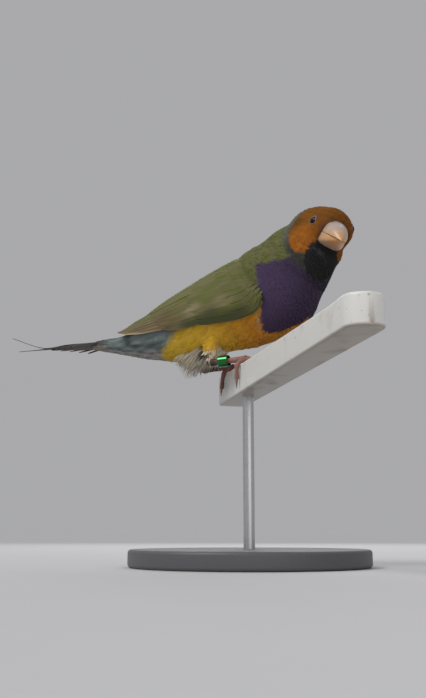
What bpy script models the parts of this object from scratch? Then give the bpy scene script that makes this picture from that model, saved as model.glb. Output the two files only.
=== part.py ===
"""A life-size gouldian finch on a plain plastic perch, held by a small display stand.

Sizes are in millimetres and become metres as each mesh is made. +X is the way the body faces, +Y its
left, +Z up, and the origin is the middle of the stand's underside. The bird squats low on the perch,
with its head turned to its right and tipped down.
"""

import bmesh
import bpy
import numpy as np

MM = 0.001
GAP = 0.3
STATION_GAP = 0.045

# Stand and perch.
BASE_RADIUS = 42.0
BASE_THICK = 6.0
BASE_BEVEL = 1.2
ROD_RADIUS = 2.0
SOCKET_DEPTH = 4.0
PERCH_UNDERSIDE = 59.6
PERCH_HEIGHT_FAR = 11.2
PERCH_HEIGHT_NEAR = 8.0
PERCH_LEFT, PERCH_RIGHT = -4.7, 6.1
PERCH_ROUND = 0.9
PERCH_NEAR = 112.0
PERCH_FAR = 26.0
PERCH_LIP, PERCH_LIP_REACH = 0.5, 7.0
PERCH_TURN = np.radians(-50.4)
PERCH_AXIS = np.array([np.cos(PERCH_TURN), np.sin(PERCH_TURN), 0.0])
PERCH_SIDE = np.array([-np.sin(PERCH_TURN), np.cos(PERCH_TURN), 0.0])

# Body plumage: one row for each station from under the tail to the back of the head, as
# centre x, y, z, forward tilt in degrees, half width, height above and depth below the centre.
BODY_STATIONS = np.array(
    [
        (-71.0, 0.0, 85.0, 0.0, 2.6, 1.0, 1.4),
        (-61.0, 0.0, 84.4, 2.0, 5.0, 2.2, 3.2),
        (-50.0, 0.0, 84.0, 6.0, 7.2, 3.4, 5.6),
        (-40.0, 0.0, 85.0, 12.0, 9.8, 6.4, 9.2),
        (-28.0, 0.0, 88.0, 15.0, 11.6, 9.6, 14.2),
        (-14.0, 0.0, 91.5, 18.0, 12.9, 12.0, 15.8),
        (0.0, 0.0, 95.0, 24.0, 13.7, 14.2, 18.6),
        (11.0, 0.0, 99.0, 38.0, 14.0, 15.4, 18.8),
        (18.0, 0.0, 105.0, 48.0, 12.9, 13.8, 15.0),
        (23.0, 0.2, 110.5, 52.0, 10.9, 13.0, 13.0),
        (27.5, 0.3, 115.0, 52.0, 9.2, 11.3, 10.0),
        (30.5, 0.4, 117.5, 45.0, 7.8, 10.9, 7.0),
        (32.5, 0.4, 118.5, 38.0, 6.6, 7.9, 5.0),
    ]
)
TAIL_CUT = 1.2
RUMP_CUT = 3.0
NECK_CUT = 8.0
BODY_SIDES = 28

# Head: its own frame has forward along the bill, right and up. Rows are forward, centre height,
# half height and half width of the plumage, from the back of the head to the bill.
HEAD_CENTRE = np.array([31.8, 0.4, 117.0])
HEAD_FORWARD = np.array([0.577, -0.748, -0.329])
HEAD_UP = np.array([0.308, -0.175, 0.935])
HEAD_STATIONS = np.array(
    [
        (-9.8, 0.2, 2.2, 2.0),
        (-8.2, 0.1, 4.8, 4.7),
        (-5.2, -0.1, 7.4, 7.0),
        (-1.3, -0.4, 8.7, 8.2),
        (2.5, -0.5, 8.7, 8.2),
        (5.5, -0.7, 7.8, 7.6),
        (7.6, -1.0, 6.3, 6.2),
        (9.2, -1.2, 4.2, 4.1),
    ]
)
HEAD_SIDES = 22
EYE_FORWARD, EYE_UP = 3.9, 2.4
EYE_RADIUS = 2.1
EYE_PROUD = 0.62
LID_RING, LID_THICK = 1.78, 0.4

# Bill: places are forward and up in the head's frame.
BILL_BASE, BILL_TIP = 7.4, 19.6
LOWER_TIP = 17.6
BILL_HALF_WIDTH = 4.7
CULMEN_HEIGHT, CHIN_HEIGHT = 3.6, -6.0
GAPE_HEIGHT, TIP_HEIGHT = -2.0, -3.4
NOSTRIL_FORWARD, NOSTRIL_SIDE, NOSTRIL_RADIUS = 10.0, 2.5, 0.5

# Legs: the foot's root is so far along the perch, and each toe is set off along it at its end.
FOOT_ALONG = {"right": 7.8, "left": -11.0}
HEELS = {"right": (-10.6, -8.0, 71.4), "left": (-21.5, 7.2, 72.2)}
HIPS = {"right": (-10.4, -6.8, 80.0), "left": (-20.5, 6.2, 80.0)}
FOOT_ACROSS = -2.6
TARSUS_RADIUS = 0.85
TOE_RADIUS = 0.8
CLAW_LENGTH = 3.2
TOES = {"inner": (5.0, 3.0), "middle": (1.2, 4.8), "outer": (-3.6, 2.6)}
HALLUX_SPREAD = {"right": -1.2, "left": -5.5}
RING_OUTER, RING_WALL, RING_LENGTH, RING_PLACE = 2.15, 0.4, 3.8, 0.36

# Wings and tail, on the body's own surface: each row is a station and the angles of the folded
# wing's lower and upper edges there, in degrees up from the widest line.
WING_EDGES = np.array(
    [
        (1.75, 41.0, 47.0),
        (2.4, 12.0, 56.0),
        (3.15, -11.0, 62.0),
        (4.4, -29.0, 65.0),
        (5.4, -33.0, 65.0),
        (6.3, -36.0, 56.0),
        (6.95, -21.0, 30.0),
    ]
)
WING_CLEAR = 0.4
VANE_THICK = 0.55
VANE_SUNK = 0.15
VANE_TILT = 0.42
MOUND_RISE = 1.0
MOUND_STATIONS = np.array([5.55, 5.95, 6.35, 6.65, 6.9])
MOUND_SHAPE = np.array([0.7, 1.0, 1.0, 0.8, 0.3])

# A feather's outline and how it settles: places along it, its width there, and its lift there. The
# longer a feather is, the more places it is cut at, so that it follows the flank.
VANE_SHAPE = np.array(
    [(0.0, 0.6, 0.6), (0.36, 1.0, 1.0), (0.68, 0.97, 0.95), (0.9, 0.74, 0.88), (1.0, 0.2, 0.85)]
)
PRIMARY_VANE = np.array([0.0, 0.2, 0.42, 0.66, 0.88, 1.0])
LONG_VANE = np.array([0.0, 0.36, 0.68, 0.9, 1.0])
SHORT_VANE = np.array([0.0, 0.42, 0.85, 1.0])

# Feather rows of a folded wing, from the lowest layer up: count, cut places, then for its first and
# last feather the station and share of the way up the wing of root and tip, half width and lift.
WING_ROWS = {
    "primary": (6, PRIMARY_VANE, (6.1, 0.12, 1.80, 0.30, 2.9, 0.85), (5.9, 0.42, 3.05, 0.88, 2.9, 1.00)),
    "secondary": (4, LONG_VANE, (6.0, 0.16, 3.80, 0.19, 3.3, 1.35), (6.0, 0.60, 3.35, 0.66, 3.2, 1.50)),
    "tertial": (3, LONG_VANE, (6.1, 0.70, 3.55, 0.74, 3.0, 1.85), (6.2, 0.88, 2.95, 0.90, 3.0, 2.00)),
    "greater_covert": (5, SHORT_VANE, (6.5, 0.12, 5.05, 0.11, 3.0, 1.95), (6.4, 0.87, 4.60, 0.90, 2.9, 2.20)),
    "median_covert": (4, SHORT_VANE, (6.7, 0.16, 5.80, 0.14, 2.9, 2.30), (6.6, 0.85, 5.50, 0.88, 2.8, 2.50)),
}

# Tail: the two middle feathers are drawn out to thin tips, and five pairs step down beside them.
TAIL_ROOT = np.array([-61.5, 0.0, 85.6])
PIN_PATHS = (
    ((-78.0, -0.5, 86.0), (-92.0, -0.9, 85.9), (-107.0, -2.4, 91.2)),
    ((-78.0, 0.6, 85.8), (-92.0, 0.5, 85.7), (-106.5, 1.4, 86.2)),
)
PIN_PLACES = np.array([0.0, 0.3, 0.6, 0.8, 1.0])
PIN_HALF_WIDTHS = np.array([2.0, 2.1, 1.1, 0.45, 0.22])
TAIL_PAIRS = 5
TAIL_HALF_WIDTH = 2.5
TAIL_TIPS = (-89.0, -74.0)
TAIL_SPREAD, TAIL_STEP, TAIL_DROOP = 1.2, 0.42, 5.0


def unit(vector):
    """The vector or rows of vectors at length one."""
    vector = np.asarray(vector, float)
    return vector / np.linalg.norm(vector, axis=-1, keepdims=True)


HEAD_FORWARD = unit(HEAD_FORWARD)
HEAD_RIGHT = unit(np.cross(HEAD_FORWARD, HEAD_UP))
HEAD_UP = np.cross(HEAD_RIGHT, HEAD_FORWARD)


def smooth_rows(table, u):
    """Rows of a table read at places u between them, on Catmull-Rom curves."""
    table = np.asarray(table, float)
    u = np.clip(np.asarray(u, float), 0, len(table) - 1)
    i = np.minimum(u.astype(int), len(table) - 2)
    t = (u - i)[..., None]
    padded = np.vstack([2 * table[0] - table[1], table, 2 * table[-1] - table[-2]])
    a, b, c, d = (padded[i + k] for k in range(4))
    curved = (2 * a - 5 * b + 4 * c - d) * t**2 + (3 * b - a - 3 * c + d) * t**3
    return 0.5 * (2 * b + (c - a) * t + curved)


def curve_through(points, count):
    """Points evenly spaced in parameter on a smooth curve through the given ones."""
    return smooth_rows(points, np.linspace(0, len(points) - 1, count))


def body_point(u, v):
    """A point of the body's plumage: u counts stations from the tail, v is the angle from the right
    side over the back, in radians. Each section is two half ellipses across the leaning axis."""
    u, v = np.broadcast_arrays(np.asarray(u, float), np.asarray(v, float))
    row = smooth_rows(BODY_STATIONS, u)
    tilt = np.radians(row[..., 3])
    up = np.stack([-np.sin(tilt), np.zeros_like(tilt), np.cos(tilt)], -1)
    height = np.where(np.sin(v) > 0, row[..., 5], row[..., 6])
    point = row[..., :3] + (height * np.sin(v))[..., None] * up
    point[..., 1] -= row[..., 4] * np.cos(v)
    return point


def lifted(u, v, lift):
    """A point of the body's plumage moved out along its normal by lift."""
    step = 1e-3
    along = body_point(u + step, v) - body_point(u - step, v)
    over = body_point(u, v + step) - body_point(u, v - step)
    return body_point(u, v) + unit(np.cross(along, over)) * np.asarray(lift)[..., None]


def make_object(name, points, faces, material=None):
    """One mesh object from points in millimetres, its faces made triangles that point outwards."""
    mesh = bpy.data.meshes.new(name)
    mesh.from_pydata((np.asarray(points) * MM).tolist(), [], [list(map(int, f)) for f in faces])
    work = bmesh.new()
    work.from_mesh(mesh)
    bmesh.ops.triangulate(work, faces=work.faces)
    bmesh.ops.recalc_face_normals(work, faces=work.faces)
    if work.calc_volume(signed=True) < 0:
        bmesh.ops.reverse_faces(work, faces=work.faces)
    work.to_mesh(mesh)
    work.free()
    obj = bpy.data.objects.new(name, mesh)
    bpy.context.scene.collection.objects.link(obj)
    if material:
        mesh.materials.append(material)
    shade(obj)
    return obj


def shade(obj):
    """Smooth shading that keeps the sharp edges."""
    obj.data.shade_smooth()
    obj.data.set_sharp_from_angle(angle=np.radians(50))


def ring_mesh(name, rings, material=None):
    """A closed solid through rings of points, all with the same number, with filled ends."""
    rings = np.asarray(rings, float)
    count, sides = rings.shape[:2]
    points = np.vstack([rings.reshape(-1, 3), rings[0].mean(0), rings[-1].mean(0)])
    first, last = count * sides, count * sides + 1
    faces = []
    for i in range(count - 1):
        for j in range(sides):
            k = (j + 1) % sides
            faces.append((i * sides + j, i * sides + k, (i + 1) * sides + k, (i + 1) * sides + j))
    for j in range(sides):
        k = (j + 1) % sides
        faces.append((first, k, j))
        faces.append((last, (count - 1) * sides + j, (count - 1) * sides + k))
    return make_object(name, points, faces, material)


def plate(name, tops, bottoms, material=None):
    """A thin solid between two grids of points, split into triangles alike on both faces."""
    tops, bottoms = np.asarray(tops, float), np.asarray(bottoms, float)
    count, across = tops.shape[:2]
    points = np.vstack([tops.reshape(-1, 3), bottoms.reshape(-1, 3)])
    under = count * across
    faces = []
    for i in range(count - 1):
        for j in range(across - 1):
            a, b = i * across + j, i * across + j + 1
            c, d = a + across, b + across
            faces += [(a, b, d), (a, d, c)]
            faces += [(under + a, under + d, under + b), (under + a, under + c, under + d)]
    edge = [i * across for i in range(count)]
    edge += [(count - 1) * across + j for j in range(1, across)]
    edge += [i * across + across - 1 for i in range(count - 2, -1, -1)]
    edge += [j for j in range(across - 2, 0, -1)]
    for a, b in zip(edge, edge[1:] + edge[:1]):
        faces += [(a, b, under + b), (a, under + b, under + a)]
    return make_object(name, points, faces, material)


def tube(name, path, radii, sides=8, material=None, up=(0.0, 0.0, 1.0)):
    """A solid of round section carried along a path."""
    path = np.asarray(path, float)
    forward = unit(np.gradient(path, axis=0))
    across = unit(np.cross(forward, up))
    over = np.cross(across, forward)
    turn = np.linspace(0, 2 * np.pi, sides, endpoint=False)[:, None, None]
    rings = path + np.asarray(radii)[:, None] * (np.cos(turn) * across + np.sin(turn) * over)
    return ring_mesh(name, rings.transpose(1, 0, 2), material)


def round_frame(axis):
    """Two unit directions square to an axis and to each other."""
    axis = unit(axis)
    side = unit(np.cross(axis, (0.31, 0.17, 0.94) if abs(axis[2]) < 0.9 else (1.0, 0.0, 0.0)))
    return axis, side, np.cross(axis, side)


def turned(name, centre, axis, profile, sides, material=None):
    """A solid turned round an axis from a profile of radius and height pairs, open at both ends."""
    axis, side, other = round_frame(axis)
    turn = np.linspace(0, 2 * np.pi, sides, endpoint=False)[:, None]
    circle = np.cos(turn) * side + np.sin(turn) * other
    rings = [np.asarray(centre) + radius * circle + height * axis for radius, height in profile]
    return ring_mesh(name, rings, material)


def ball(name, centre, axis, radius, rings, sides, material=None):
    """A sphere, its poles left as small flats."""
    angle = np.linspace(0.12, np.pi - 0.12, rings)
    profile = zip(radius * np.sin(angle), -radius * np.cos(angle))
    return turned(name, centre, axis, profile, sides, material)


def hoop(name, centre, axis, radius, section, sides, material=None):
    """A closed band round an axis, its section given as pairs of radius step and height."""
    axis, side, other = round_frame(axis)
    turn = np.linspace(0, 2 * np.pi, sides, endpoint=False)[:, None]
    circle = np.cos(turn) * side + np.sin(turn) * other
    centre = np.asarray(centre)
    loops = np.array([centre + (radius + step) * circle + height * axis for step, height in section])
    count = len(section)
    faces = []
    for i in range(count):
        for j in range(sides):
            k, n = (j + 1) % sides, (i + 1) % count
            faces.append((i * sides + j, i * sides + k, n * sides + k, n * sides + j))
    return make_object(name, loops.reshape(-1, 3), faces, material)


def keep_largest(obj):
    """Keeps only the closed surface with the largest box."""
    work = bmesh.new()
    work.from_mesh(obj.data)
    left = set(work.verts)
    parts = []
    while left:
        reach = [left.pop()]
        part = set(reach)
        while reach:
            for edge in reach.pop().link_edges:
                for vert in edge.verts:
                    if vert in left:
                        left.discard(vert)
                        part.add(vert)
                        reach.append(vert)
        parts.append(part)
    keep = max(parts, key=lambda part: np.prod(np.ptp([v.co[:] for v in part], axis=0)))
    bmesh.ops.delete(work, geom=[v for v in work.verts if v not in keep])
    bmesh.ops.triangulate(work, faces=work.faces)
    work.to_mesh(obj.data)
    work.free()


def boolean(obj, others, operation):
    """Joins the other objects to obj, or cuts them from it, and removes them. The manifold solver is
    used because the exact one leaves the stand's base open, and both give the same solids elsewhere."""
    group = bpy.data.collections.new("operands")
    bpy.context.scene.collection.children.link(group)
    for other in others:
        bpy.context.scene.collection.objects.unlink(other)
        group.objects.link(other)
    modifier = obj.modifiers.new("join", "BOOLEAN")
    modifier.operand_type = "COLLECTION"
    modifier.collection = group
    modifier.operation = operation
    modifier.solver = "MANIFOLD"
    bpy.context.view_layer.update()
    graph = bpy.context.evaluated_depsgraph_get()
    mesh = bpy.data.meshes.new_from_object(obj.evaluated_get(graph))
    obj.modifiers.remove(modifier)
    old = obj.data
    obj.data = mesh
    bpy.data.meshes.remove(old)
    mesh.name = obj.name
    for other in others:
        bpy.data.objects.remove(other)
    bpy.data.collections.remove(group)
    keep_largest(obj)
    shade(obj)
    return obj


def paint(name, colour, roughness=0.6, metallic=0.0):
    """A Principled material."""
    material = bpy.data.materials.new(name)
    material.use_nodes = True
    shader = material.node_tree.nodes["Principled BSDF"]
    shader.inputs["Base Color"].default_value = (*colour, 1.0)
    shader.inputs["Roughness"].default_value = roughness
    shader.inputs["Metallic"].default_value = metallic
    return material


def body_section(name, start, end, count, material=None, lift=0.0):
    """The body's plumage between two stations, with flat ends."""
    u, v = np.meshgrid(
        np.linspace(start, end, count), np.linspace(0, 2 * np.pi, BODY_SIDES, endpoint=False), indexing="ij"
    )
    return ring_mesh(name, lifted(u, v, np.full(u.shape, lift)), material)


def from_head(points):
    """Points given as forward, right and up in the head's frame, in the model's own frame."""
    return HEAD_CENTRE + np.asarray(points, float) @ np.array([HEAD_FORWARD, HEAD_RIGHT, HEAD_UP])


def head_solid(name, lift=0.0, material=None, count=13):
    """The head's plumage: ellipses across its forward axis, grown by lift."""
    row = curve_through(HEAD_STATIONS, count)
    turn = np.linspace(0, 2 * np.pi, HEAD_SIDES, endpoint=False)
    forward = np.repeat(row[:, :1], HEAD_SIDES, axis=1)
    forward[0] -= lift
    forward[-1] += lift
    right = (row[:, 3:4] + lift) * np.cos(turn)
    up = row[:, 1:2] + (row[:, 2:3] + lift) * np.sin(turn)
    return ring_mesh(name, from_head(np.stack([forward, right, up], -1)), material)


def head_side(forward, up):
    """How far out to the side the head's plumage is at a forward place and height."""
    place = np.interp(forward, HEAD_STATIONS[:, 0], np.arange(len(HEAD_STATIONS)))
    _, middle, half_height, half_width = smooth_rows(HEAD_STATIONS, place)
    return half_width * np.sqrt(max(0.0, 1 - ((up - middle) / half_height) ** 2))


def eye_place(side):
    """An eye's centre and the outward direction of the head there; side is 1 for right, -1 for left."""
    step = 0.2
    out = head_side(EYE_FORWARD, EYE_UP)
    rise_forward = head_side(EYE_FORWARD + step, EYE_UP) - head_side(EYE_FORWARD - step, EYE_UP)
    rise_up = head_side(EYE_FORWARD, EYE_UP + step) - head_side(EYE_FORWARD, EYE_UP - step)
    local = unit((-rise_forward, 2 * step, -rise_up)) * (1, side, 1)
    axis = local @ np.array([HEAD_FORWARD, HEAD_RIGHT, HEAD_UP])
    return from_head((EYE_FORWARD, side * out, EYE_UP)) - (EYE_RADIUS - EYE_PROUD) * axis, axis


def lid_solid(sign, grow=0.0):
    """The bare ring of lid round an eye, grown all round by grow."""
    centre, axis = eye_place(sign)
    turn = np.linspace(0, 2 * np.pi, 6, endpoint=False)
    section = (LID_THICK + grow) * np.stack([np.cos(turn), np.sin(turn)], 1)
    return hoop("lid", centre + (EYE_RADIUS - EYE_PROUD) * axis, axis, LID_RING, section, 14)


def bill_solid(name, half, grow=0.0, material=None, count=8, arc=9):
    """Half of the cone-shaped bill, grown all round by grow: half is 1 for the upper mandible and
    -1 for the lower. Each section is a round arch on a flat, and the ridge line bows outwards."""
    tip = BILL_TIP if half > 0 else LOWER_TIP
    t = np.linspace(0, 1, count)
    forward = BILL_BASE + (tip - BILL_BASE) * t
    gape = GAPE_HEIGHT + (TIP_HEIGHT - GAPE_HEIGHT) * ((forward - BILL_BASE) / (BILL_TIP - BILL_BASE)) ** 1.5
    width = BILL_HALF_WIDTH * (1 - 0.92 * t**1.9)
    outer = CULMEN_HEIGHT if half > 0 else CHIN_HEIGHT
    edge = gape + half * (GAP / 2 - grow)
    arch = (outer - GAPE_HEIGHT) * (1 - 0.94 * t ** (2.0 if half > 0 else 1.8))
    forward[0] -= grow
    forward[-1] += grow
    angle = np.linspace(0, np.pi, arc)
    right = np.concatenate([np.cos(angle), [-0.5, 0.0, 0.5]])
    rise = np.concatenate([np.sin(angle) ** 0.85, [0.0, 0.0, 0.0]])
    rings = np.stack(
        [
            np.repeat(forward[:, None], arc + 3, axis=1),
            (width + grow)[:, None] * right,
            edge[:, None] + (arch + half * 2 * grow)[:, None] * rise,
        ],
        -1,
    )
    return ring_mesh(name, from_head(rings), material)


def perch_top(along):
    """Height of the perch's upper face so far along it."""
    share = (along + PERCH_FAR) / (PERCH_NEAR + PERCH_FAR)
    return PERCH_UNDERSIDE + PERCH_HEIGHT_FAR + (PERCH_HEIGHT_NEAR - PERCH_HEIGHT_FAR) * share


def on_perch(along, across, height):
    """A point given along and across the perch and above its own upper face there."""
    along, across, height = (np.asarray(value, float) for value in (along, across, height))
    flat = along[..., None] * PERCH_AXIS + across[..., None] * PERCH_SIDE
    return flat + (perch_top(along) + height)[..., None] * np.array([0.0, 0.0, 1.0])


def make_perch(material):
    """A moulded bar of rounded section whose near end is a half round with a slight lip."""
    half = (PERCH_RIGHT - PERCH_LEFT) / 2
    middle = (PERCH_RIGHT + PERCH_LEFT) / 2
    straight_end = PERCH_NEAR - half
    round_end = straight_end + half * np.sin(np.radians([20, 40, 58, 74, 86]))
    lip_start = straight_end - np.array([2.0, 1.2, 0.5, 0.0]) * PERCH_LIP_REACH
    along = np.concatenate([[-PERCH_FAR, 0.6 * straight_end], lip_start, round_end])
    rings = []
    for place in along:
        wide = np.sqrt(half**2 - max(0.0, place - straight_end) ** 2)
        lip = PERCH_LIP * np.exp(-(((place - straight_end) / PERCH_LIP_REACH) ** 2))
        bend = min(PERCH_ROUND, 0.8 * wide)
        across, height = rounded_section(middle, wide, PERCH_UNDERSIDE, perch_top(place) + lip, bend).T
        ring = place * PERCH_AXIS + across[:, None] * PERCH_SIDE
        ring[:, 2] = height
        rings.append(ring)
    perch = ring_mesh("perch", rings, material)
    hole = turned("hole", (0, 0, 0), (0, 0, 1), rod_profile(GAP, GAP), 24)
    return boolean(perch, [hole], "DIFFERENCE")


def rounded_section(middle, wide, bottom, top, bend):
    """Points round a rectangle with rounded corners, as pairs of place across and height."""
    corner = np.radians([0, 30, 60, 90])
    arcs = []
    corners = ((1, top - bend), (-1, top - bend), (-1, bottom + bend), (1, bottom + bend))
    for quarter, (across, height) in enumerate(corners):
        turn = corner + quarter * np.pi / 2
        centre = middle + across * (wide - bend)
        arcs.append(np.stack([centre + bend * np.cos(turn), height + bend * np.sin(turn)], 1))
    return np.vstack(arcs)


def rod_profile(around, ends):
    """The rod's radius and heights, grown for a hole."""
    bottom = BASE_THICK - SOCKET_DEPTH - ends
    top = PERCH_UNDERSIDE + SOCKET_DEPTH + ends
    return [(ROD_RADIUS + around, bottom), (ROD_RADIUS + around, top)]


def make_stand(material_base, material_rod):
    """The round base and the rod, which stands in a hole in the base and one in the perch."""
    profile = [
        (BASE_RADIUS - BASE_BEVEL, 0.0),
        (BASE_RADIUS, BASE_BEVEL),
        (BASE_RADIUS, BASE_THICK - BASE_BEVEL),
        (BASE_RADIUS - BASE_BEVEL, BASE_THICK),
    ]
    base = turned("stand_base", (0, 0, 0), (0, 0, 1), profile, 48, material_base)
    hole = turned("hole", (0, 0, 0), (0, 0, 1), rod_profile(GAP, GAP), 24)
    boolean(base, [hole], "DIFFERENCE")
    turned("stand_rod", (0, 0, 0), (0, 0, 1), rod_profile(0.0, 0.0), 24, material_rod)


def toe_path(side, name):
    """The middle line of a toe round the perch, as points, ending where the claw takes over. Each row
    is a share of the toe's spread, its place across the perch, and its height over the perch there."""
    clear = GAP + TOE_RADIUS
    left, right = PERCH_LEFT - clear, PERCH_RIGHT + clear
    root = (0.0, FOOT_ACROSS, clear + 0.5)
    if name == "hallux":
        spread = HALLUX_SPREAD[side]
        rows = [root, (0.1, -3.9, clear + 0.1), (0.35, left - 0.05, -0.7), (1.0, left, -5.6)]
    else:
        spread, reach = TOES[name]
        rows = [root, (0.35, 0.2, clear), (0.8, 4.6, clear + 0.1), (0.95, right + 0.05, -0.8)]
        rows.append((1.0 + 0.1 * reach, right, -0.8 - reach))
    share, across, height = np.array(rows).T
    return curve_through(on_perch(FOOT_ALONG[side] + spread * share, across, height), 2 * len(rows) + 1)


def shank_line(side):
    """The two ends of the tarsus: the heel, and the foot's root on the perch."""
    return np.array(HEELS[side]), on_perch(FOOT_ALONG[side], FOOT_ACROSS, GAP + TOE_RADIUS + 0.55)


def shank(name, side, grow=0.0, material=None):
    """The tarsus, thicker at the heel, grown all round by grow."""
    heel, foot = shank_line(side)
    heel = heel - grow * unit(foot - heel)
    t = np.linspace(0, 1, 6)
    radii = TARSUS_RADIUS * (1 + 0.5 * (1 - t) ** 6 + 0.35 * t**6) + grow
    return tube(name, heel + (foot - heel) * t[:, None], radii, 10, material)


def make_leg(side, skin, horn):
    """The bare leg: its tarsus with three toes forward and one back, and a claw on each toe."""
    leg = shank("leg_" + side, side, material=skin)
    pieces = []
    for name in (*TOES, "hallux"):
        path = toe_path(side, name)
        share = np.linspace(0, 1, len(path))
        knuckles = 1 + 0.08 * np.cos(share * 6 * np.pi)
        pieces.append(tube("toe", path, TOE_RADIUS * (1 - 0.25 * share) * knuckles, 8))
        make_claw(f"claw_{side}_{name}", path, horn)
    return boolean(leg, pieces, "UNION")


def make_claw(name, path, material):
    """A curved claw that goes on from the end of a toe's path, thin at its tip."""
    end = path[-1]
    forward = unit(path[-1] - path[-3])
    outward = unit(end - (end @ PERCH_AXIS) * PERCH_AXIS - np.array([0, 0, end[2]]))
    t = np.linspace(0, 1, 5)[:, None]
    start = end + forward * GAP * 1.2
    line = start + forward * CLAW_LENGTH * t - outward * 0.12 * t + 0.5 * outward * t * (1 - t)
    radii = 0.52 * (1 - 0.8 * t[:, 0] ** 1.3)
    return tube(name, line, radii, 7, material)


def make_thigh(side, material, torso_cutter):
    """The feathered thigh, from the flank to the heel, cut clear of the body."""
    hip, heel = np.array(HIPS[side]), np.array(HEELS[side])
    t = np.linspace(0, 1, 8)
    way = unit(heel - hip)
    path = hip + (heel + 0.4 * way - hip) * t[:, None]
    radii = 1.9 * (1 - t**2) ** 0.8 + 0.9
    thigh = tube("thigh_" + side, path, radii, 14, material, up=(0.3, 1.0, 0.0))
    return boolean(thigh, [torso_cutter, shank("cutter", side, GAP)], "DIFFERENCE")


def wing_place(station, share):
    """The station and angle of a place so far up between the folded wing's lower and upper edges."""
    row = np.interp(station, WING_EDGES[:, 0], np.arange(len(WING_EDGES)))
    edges = np.radians(smooth_rows(WING_EDGES, row))
    return np.asarray(station, float), edges[..., 1] + (edges[..., 2] - edges[..., 1]) * share


def body_vane(name, place, half, lift, side):
    """A feather that lies on the body. Its middle line is given as stations and angles, its edges are
    half to each side along the surface, and its lower edge stands proud over the next feather down."""
    u, v = place
    step = 1e-3
    along = (body_point(u + step, v) - body_point(u - step, v)) / (2 * step)
    over = (body_point(u, v + step) - body_point(u, v - step)) / (2 * step)
    way = np.gradient(u)[:, None] * along + np.gradient(v)[:, None] * over
    across = unit(np.cross(np.cross(along, over), way)) * half[:, None]
    # The step in u and v whose surface vector is nearest to the one across the feather.
    aa, ab, bb = (along * along).sum(1), (along * over).sum(1), (over * over).sum(1)
    ca, cb = (across * along).sum(1), (across * over).sum(1)
    size = aa * bb - ab**2
    du, dv = (ca * bb - cb * ab) / size, (cb * aa - ca * ab) / size
    offsets = np.array([-1.0, 0.0, 1.0])
    grid_u = u[:, None] + du[:, None] * offsets
    grid_v = v[:, None] + dv[:, None] * offsets
    if side == "left":
        grid_v = np.pi - grid_v
    low = lift[:, None] + VANE_TILT * (half / half.max())[:, None] * offsets
    low = np.maximum(low, WING_CLEAR + VANE_SUNK)
    return plate(name, lifted(grid_u, grid_v, low + VANE_THICK), lifted(grid_u, grid_v, low))


def vane_shape(along):
    """A feather's width and lift, as shares of its own, at places along it."""
    return (np.interp(along, VANE_SHAPE[:, 0], VANE_SHAPE[:, k]) for k in (1, 2))


def wing_row(name, side):
    """The feathers of one row of the wing, evenly set from its first to its last."""
    count, along, first, last = WING_ROWS[name]
    widths, lifts = vane_shape(along)
    vanes = []
    for share in np.linspace(0, 1, count):
        root_u, root_up, tip_u, tip_up, half, lift = (1 - share) * np.array(first) + share * np.array(last)
        place = wing_place(root_u + (tip_u - root_u) * along, root_up + (tip_up - root_up) * along)
        vanes.append(body_vane(name, place, half * widths, lift * lifts, side))
    return vanes


def make_wing(side, material):
    """A folded wing: a low mound for its bend, and in it the roots of every row of feathers."""
    share = np.linspace(0.05, 0.95, 7)
    u, v = wing_place(np.repeat(MOUND_STATIONS[:, None], len(share), axis=1), share)
    if side == "left":
        v = np.pi - v
    rise = VANE_THICK + MOUND_RISE * MOUND_SHAPE[:, None] * np.sin(np.pi * share)
    clear = np.full(u.shape, WING_CLEAR)
    wing = plate("wing_" + side, lifted(u, v, clear + rise), lifted(u, v, clear), material)
    vanes = [vane for name in WING_ROWS for vane in wing_row(name, side)]
    return boolean(wing, vanes, "UNION")


def flat_vane(name, middle, half, roll=0.0):
    """A flat feather along a line, half to each side, turned about the line by roll."""
    forward = unit(np.gradient(middle, axis=0))
    level = unit(np.cross(forward, (0, 0, 1.0)))
    across = np.cos(roll) * level + np.sin(roll) * np.cross(level, forward)
    rise = 0.5 * VANE_THICK * np.cross(across, forward)[:, None]
    grid = middle[:, None] + half[:, None, None] * np.array([-1.0, 0.0, 1.0])[:, None] * across[:, None]
    return plate(name, grid + rise, grid - rise)


def make_tail(material):
    """The closed tail: a root under the coverts, two long middle feathers drawn out to thin tips, and
    pairs beside and below them, each shorter and lower than the last and drooped like a roof."""
    tail = body_section("tail", 0.0, TAIL_CUT - STATION_GAP, 4, material)
    vanes = []
    for path in PIN_PATHS:
        middle = curve_through([TAIL_ROOT, *path], 8)
        half = np.interp(np.linspace(0, 1, 8), PIN_PLACES, PIN_HALF_WIDTHS)
        vanes.append(flat_vane("pin", middle, half))
    for pair, tip_x in enumerate(np.linspace(*TAIL_TIPS, TAIL_PAIRS), start=1):
        for sign in (-1, 1):
            root = TAIL_ROOT + (0.0, 0.4 * sign * pair, -0.6 * TAIL_STEP * pair)
            tip = np.array([tip_x, sign * TAIL_SPREAD * (pair - 0.3), TAIL_ROOT[2] - TAIL_STEP * pair])
            tip[2] -= 0.1 * (sign > 0)
            middle = root + (tip - root) * SHORT_VANE[:, None]
            widths, _ = vane_shape(SHORT_VANE)
            roll = np.radians(sign * TAIL_DROOP * pair)
            vanes.append(flat_vane("rectrix", middle, TAIL_HALF_WIDTH * widths, roll))
    return boolean(tail, vanes, "UNION")


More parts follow.
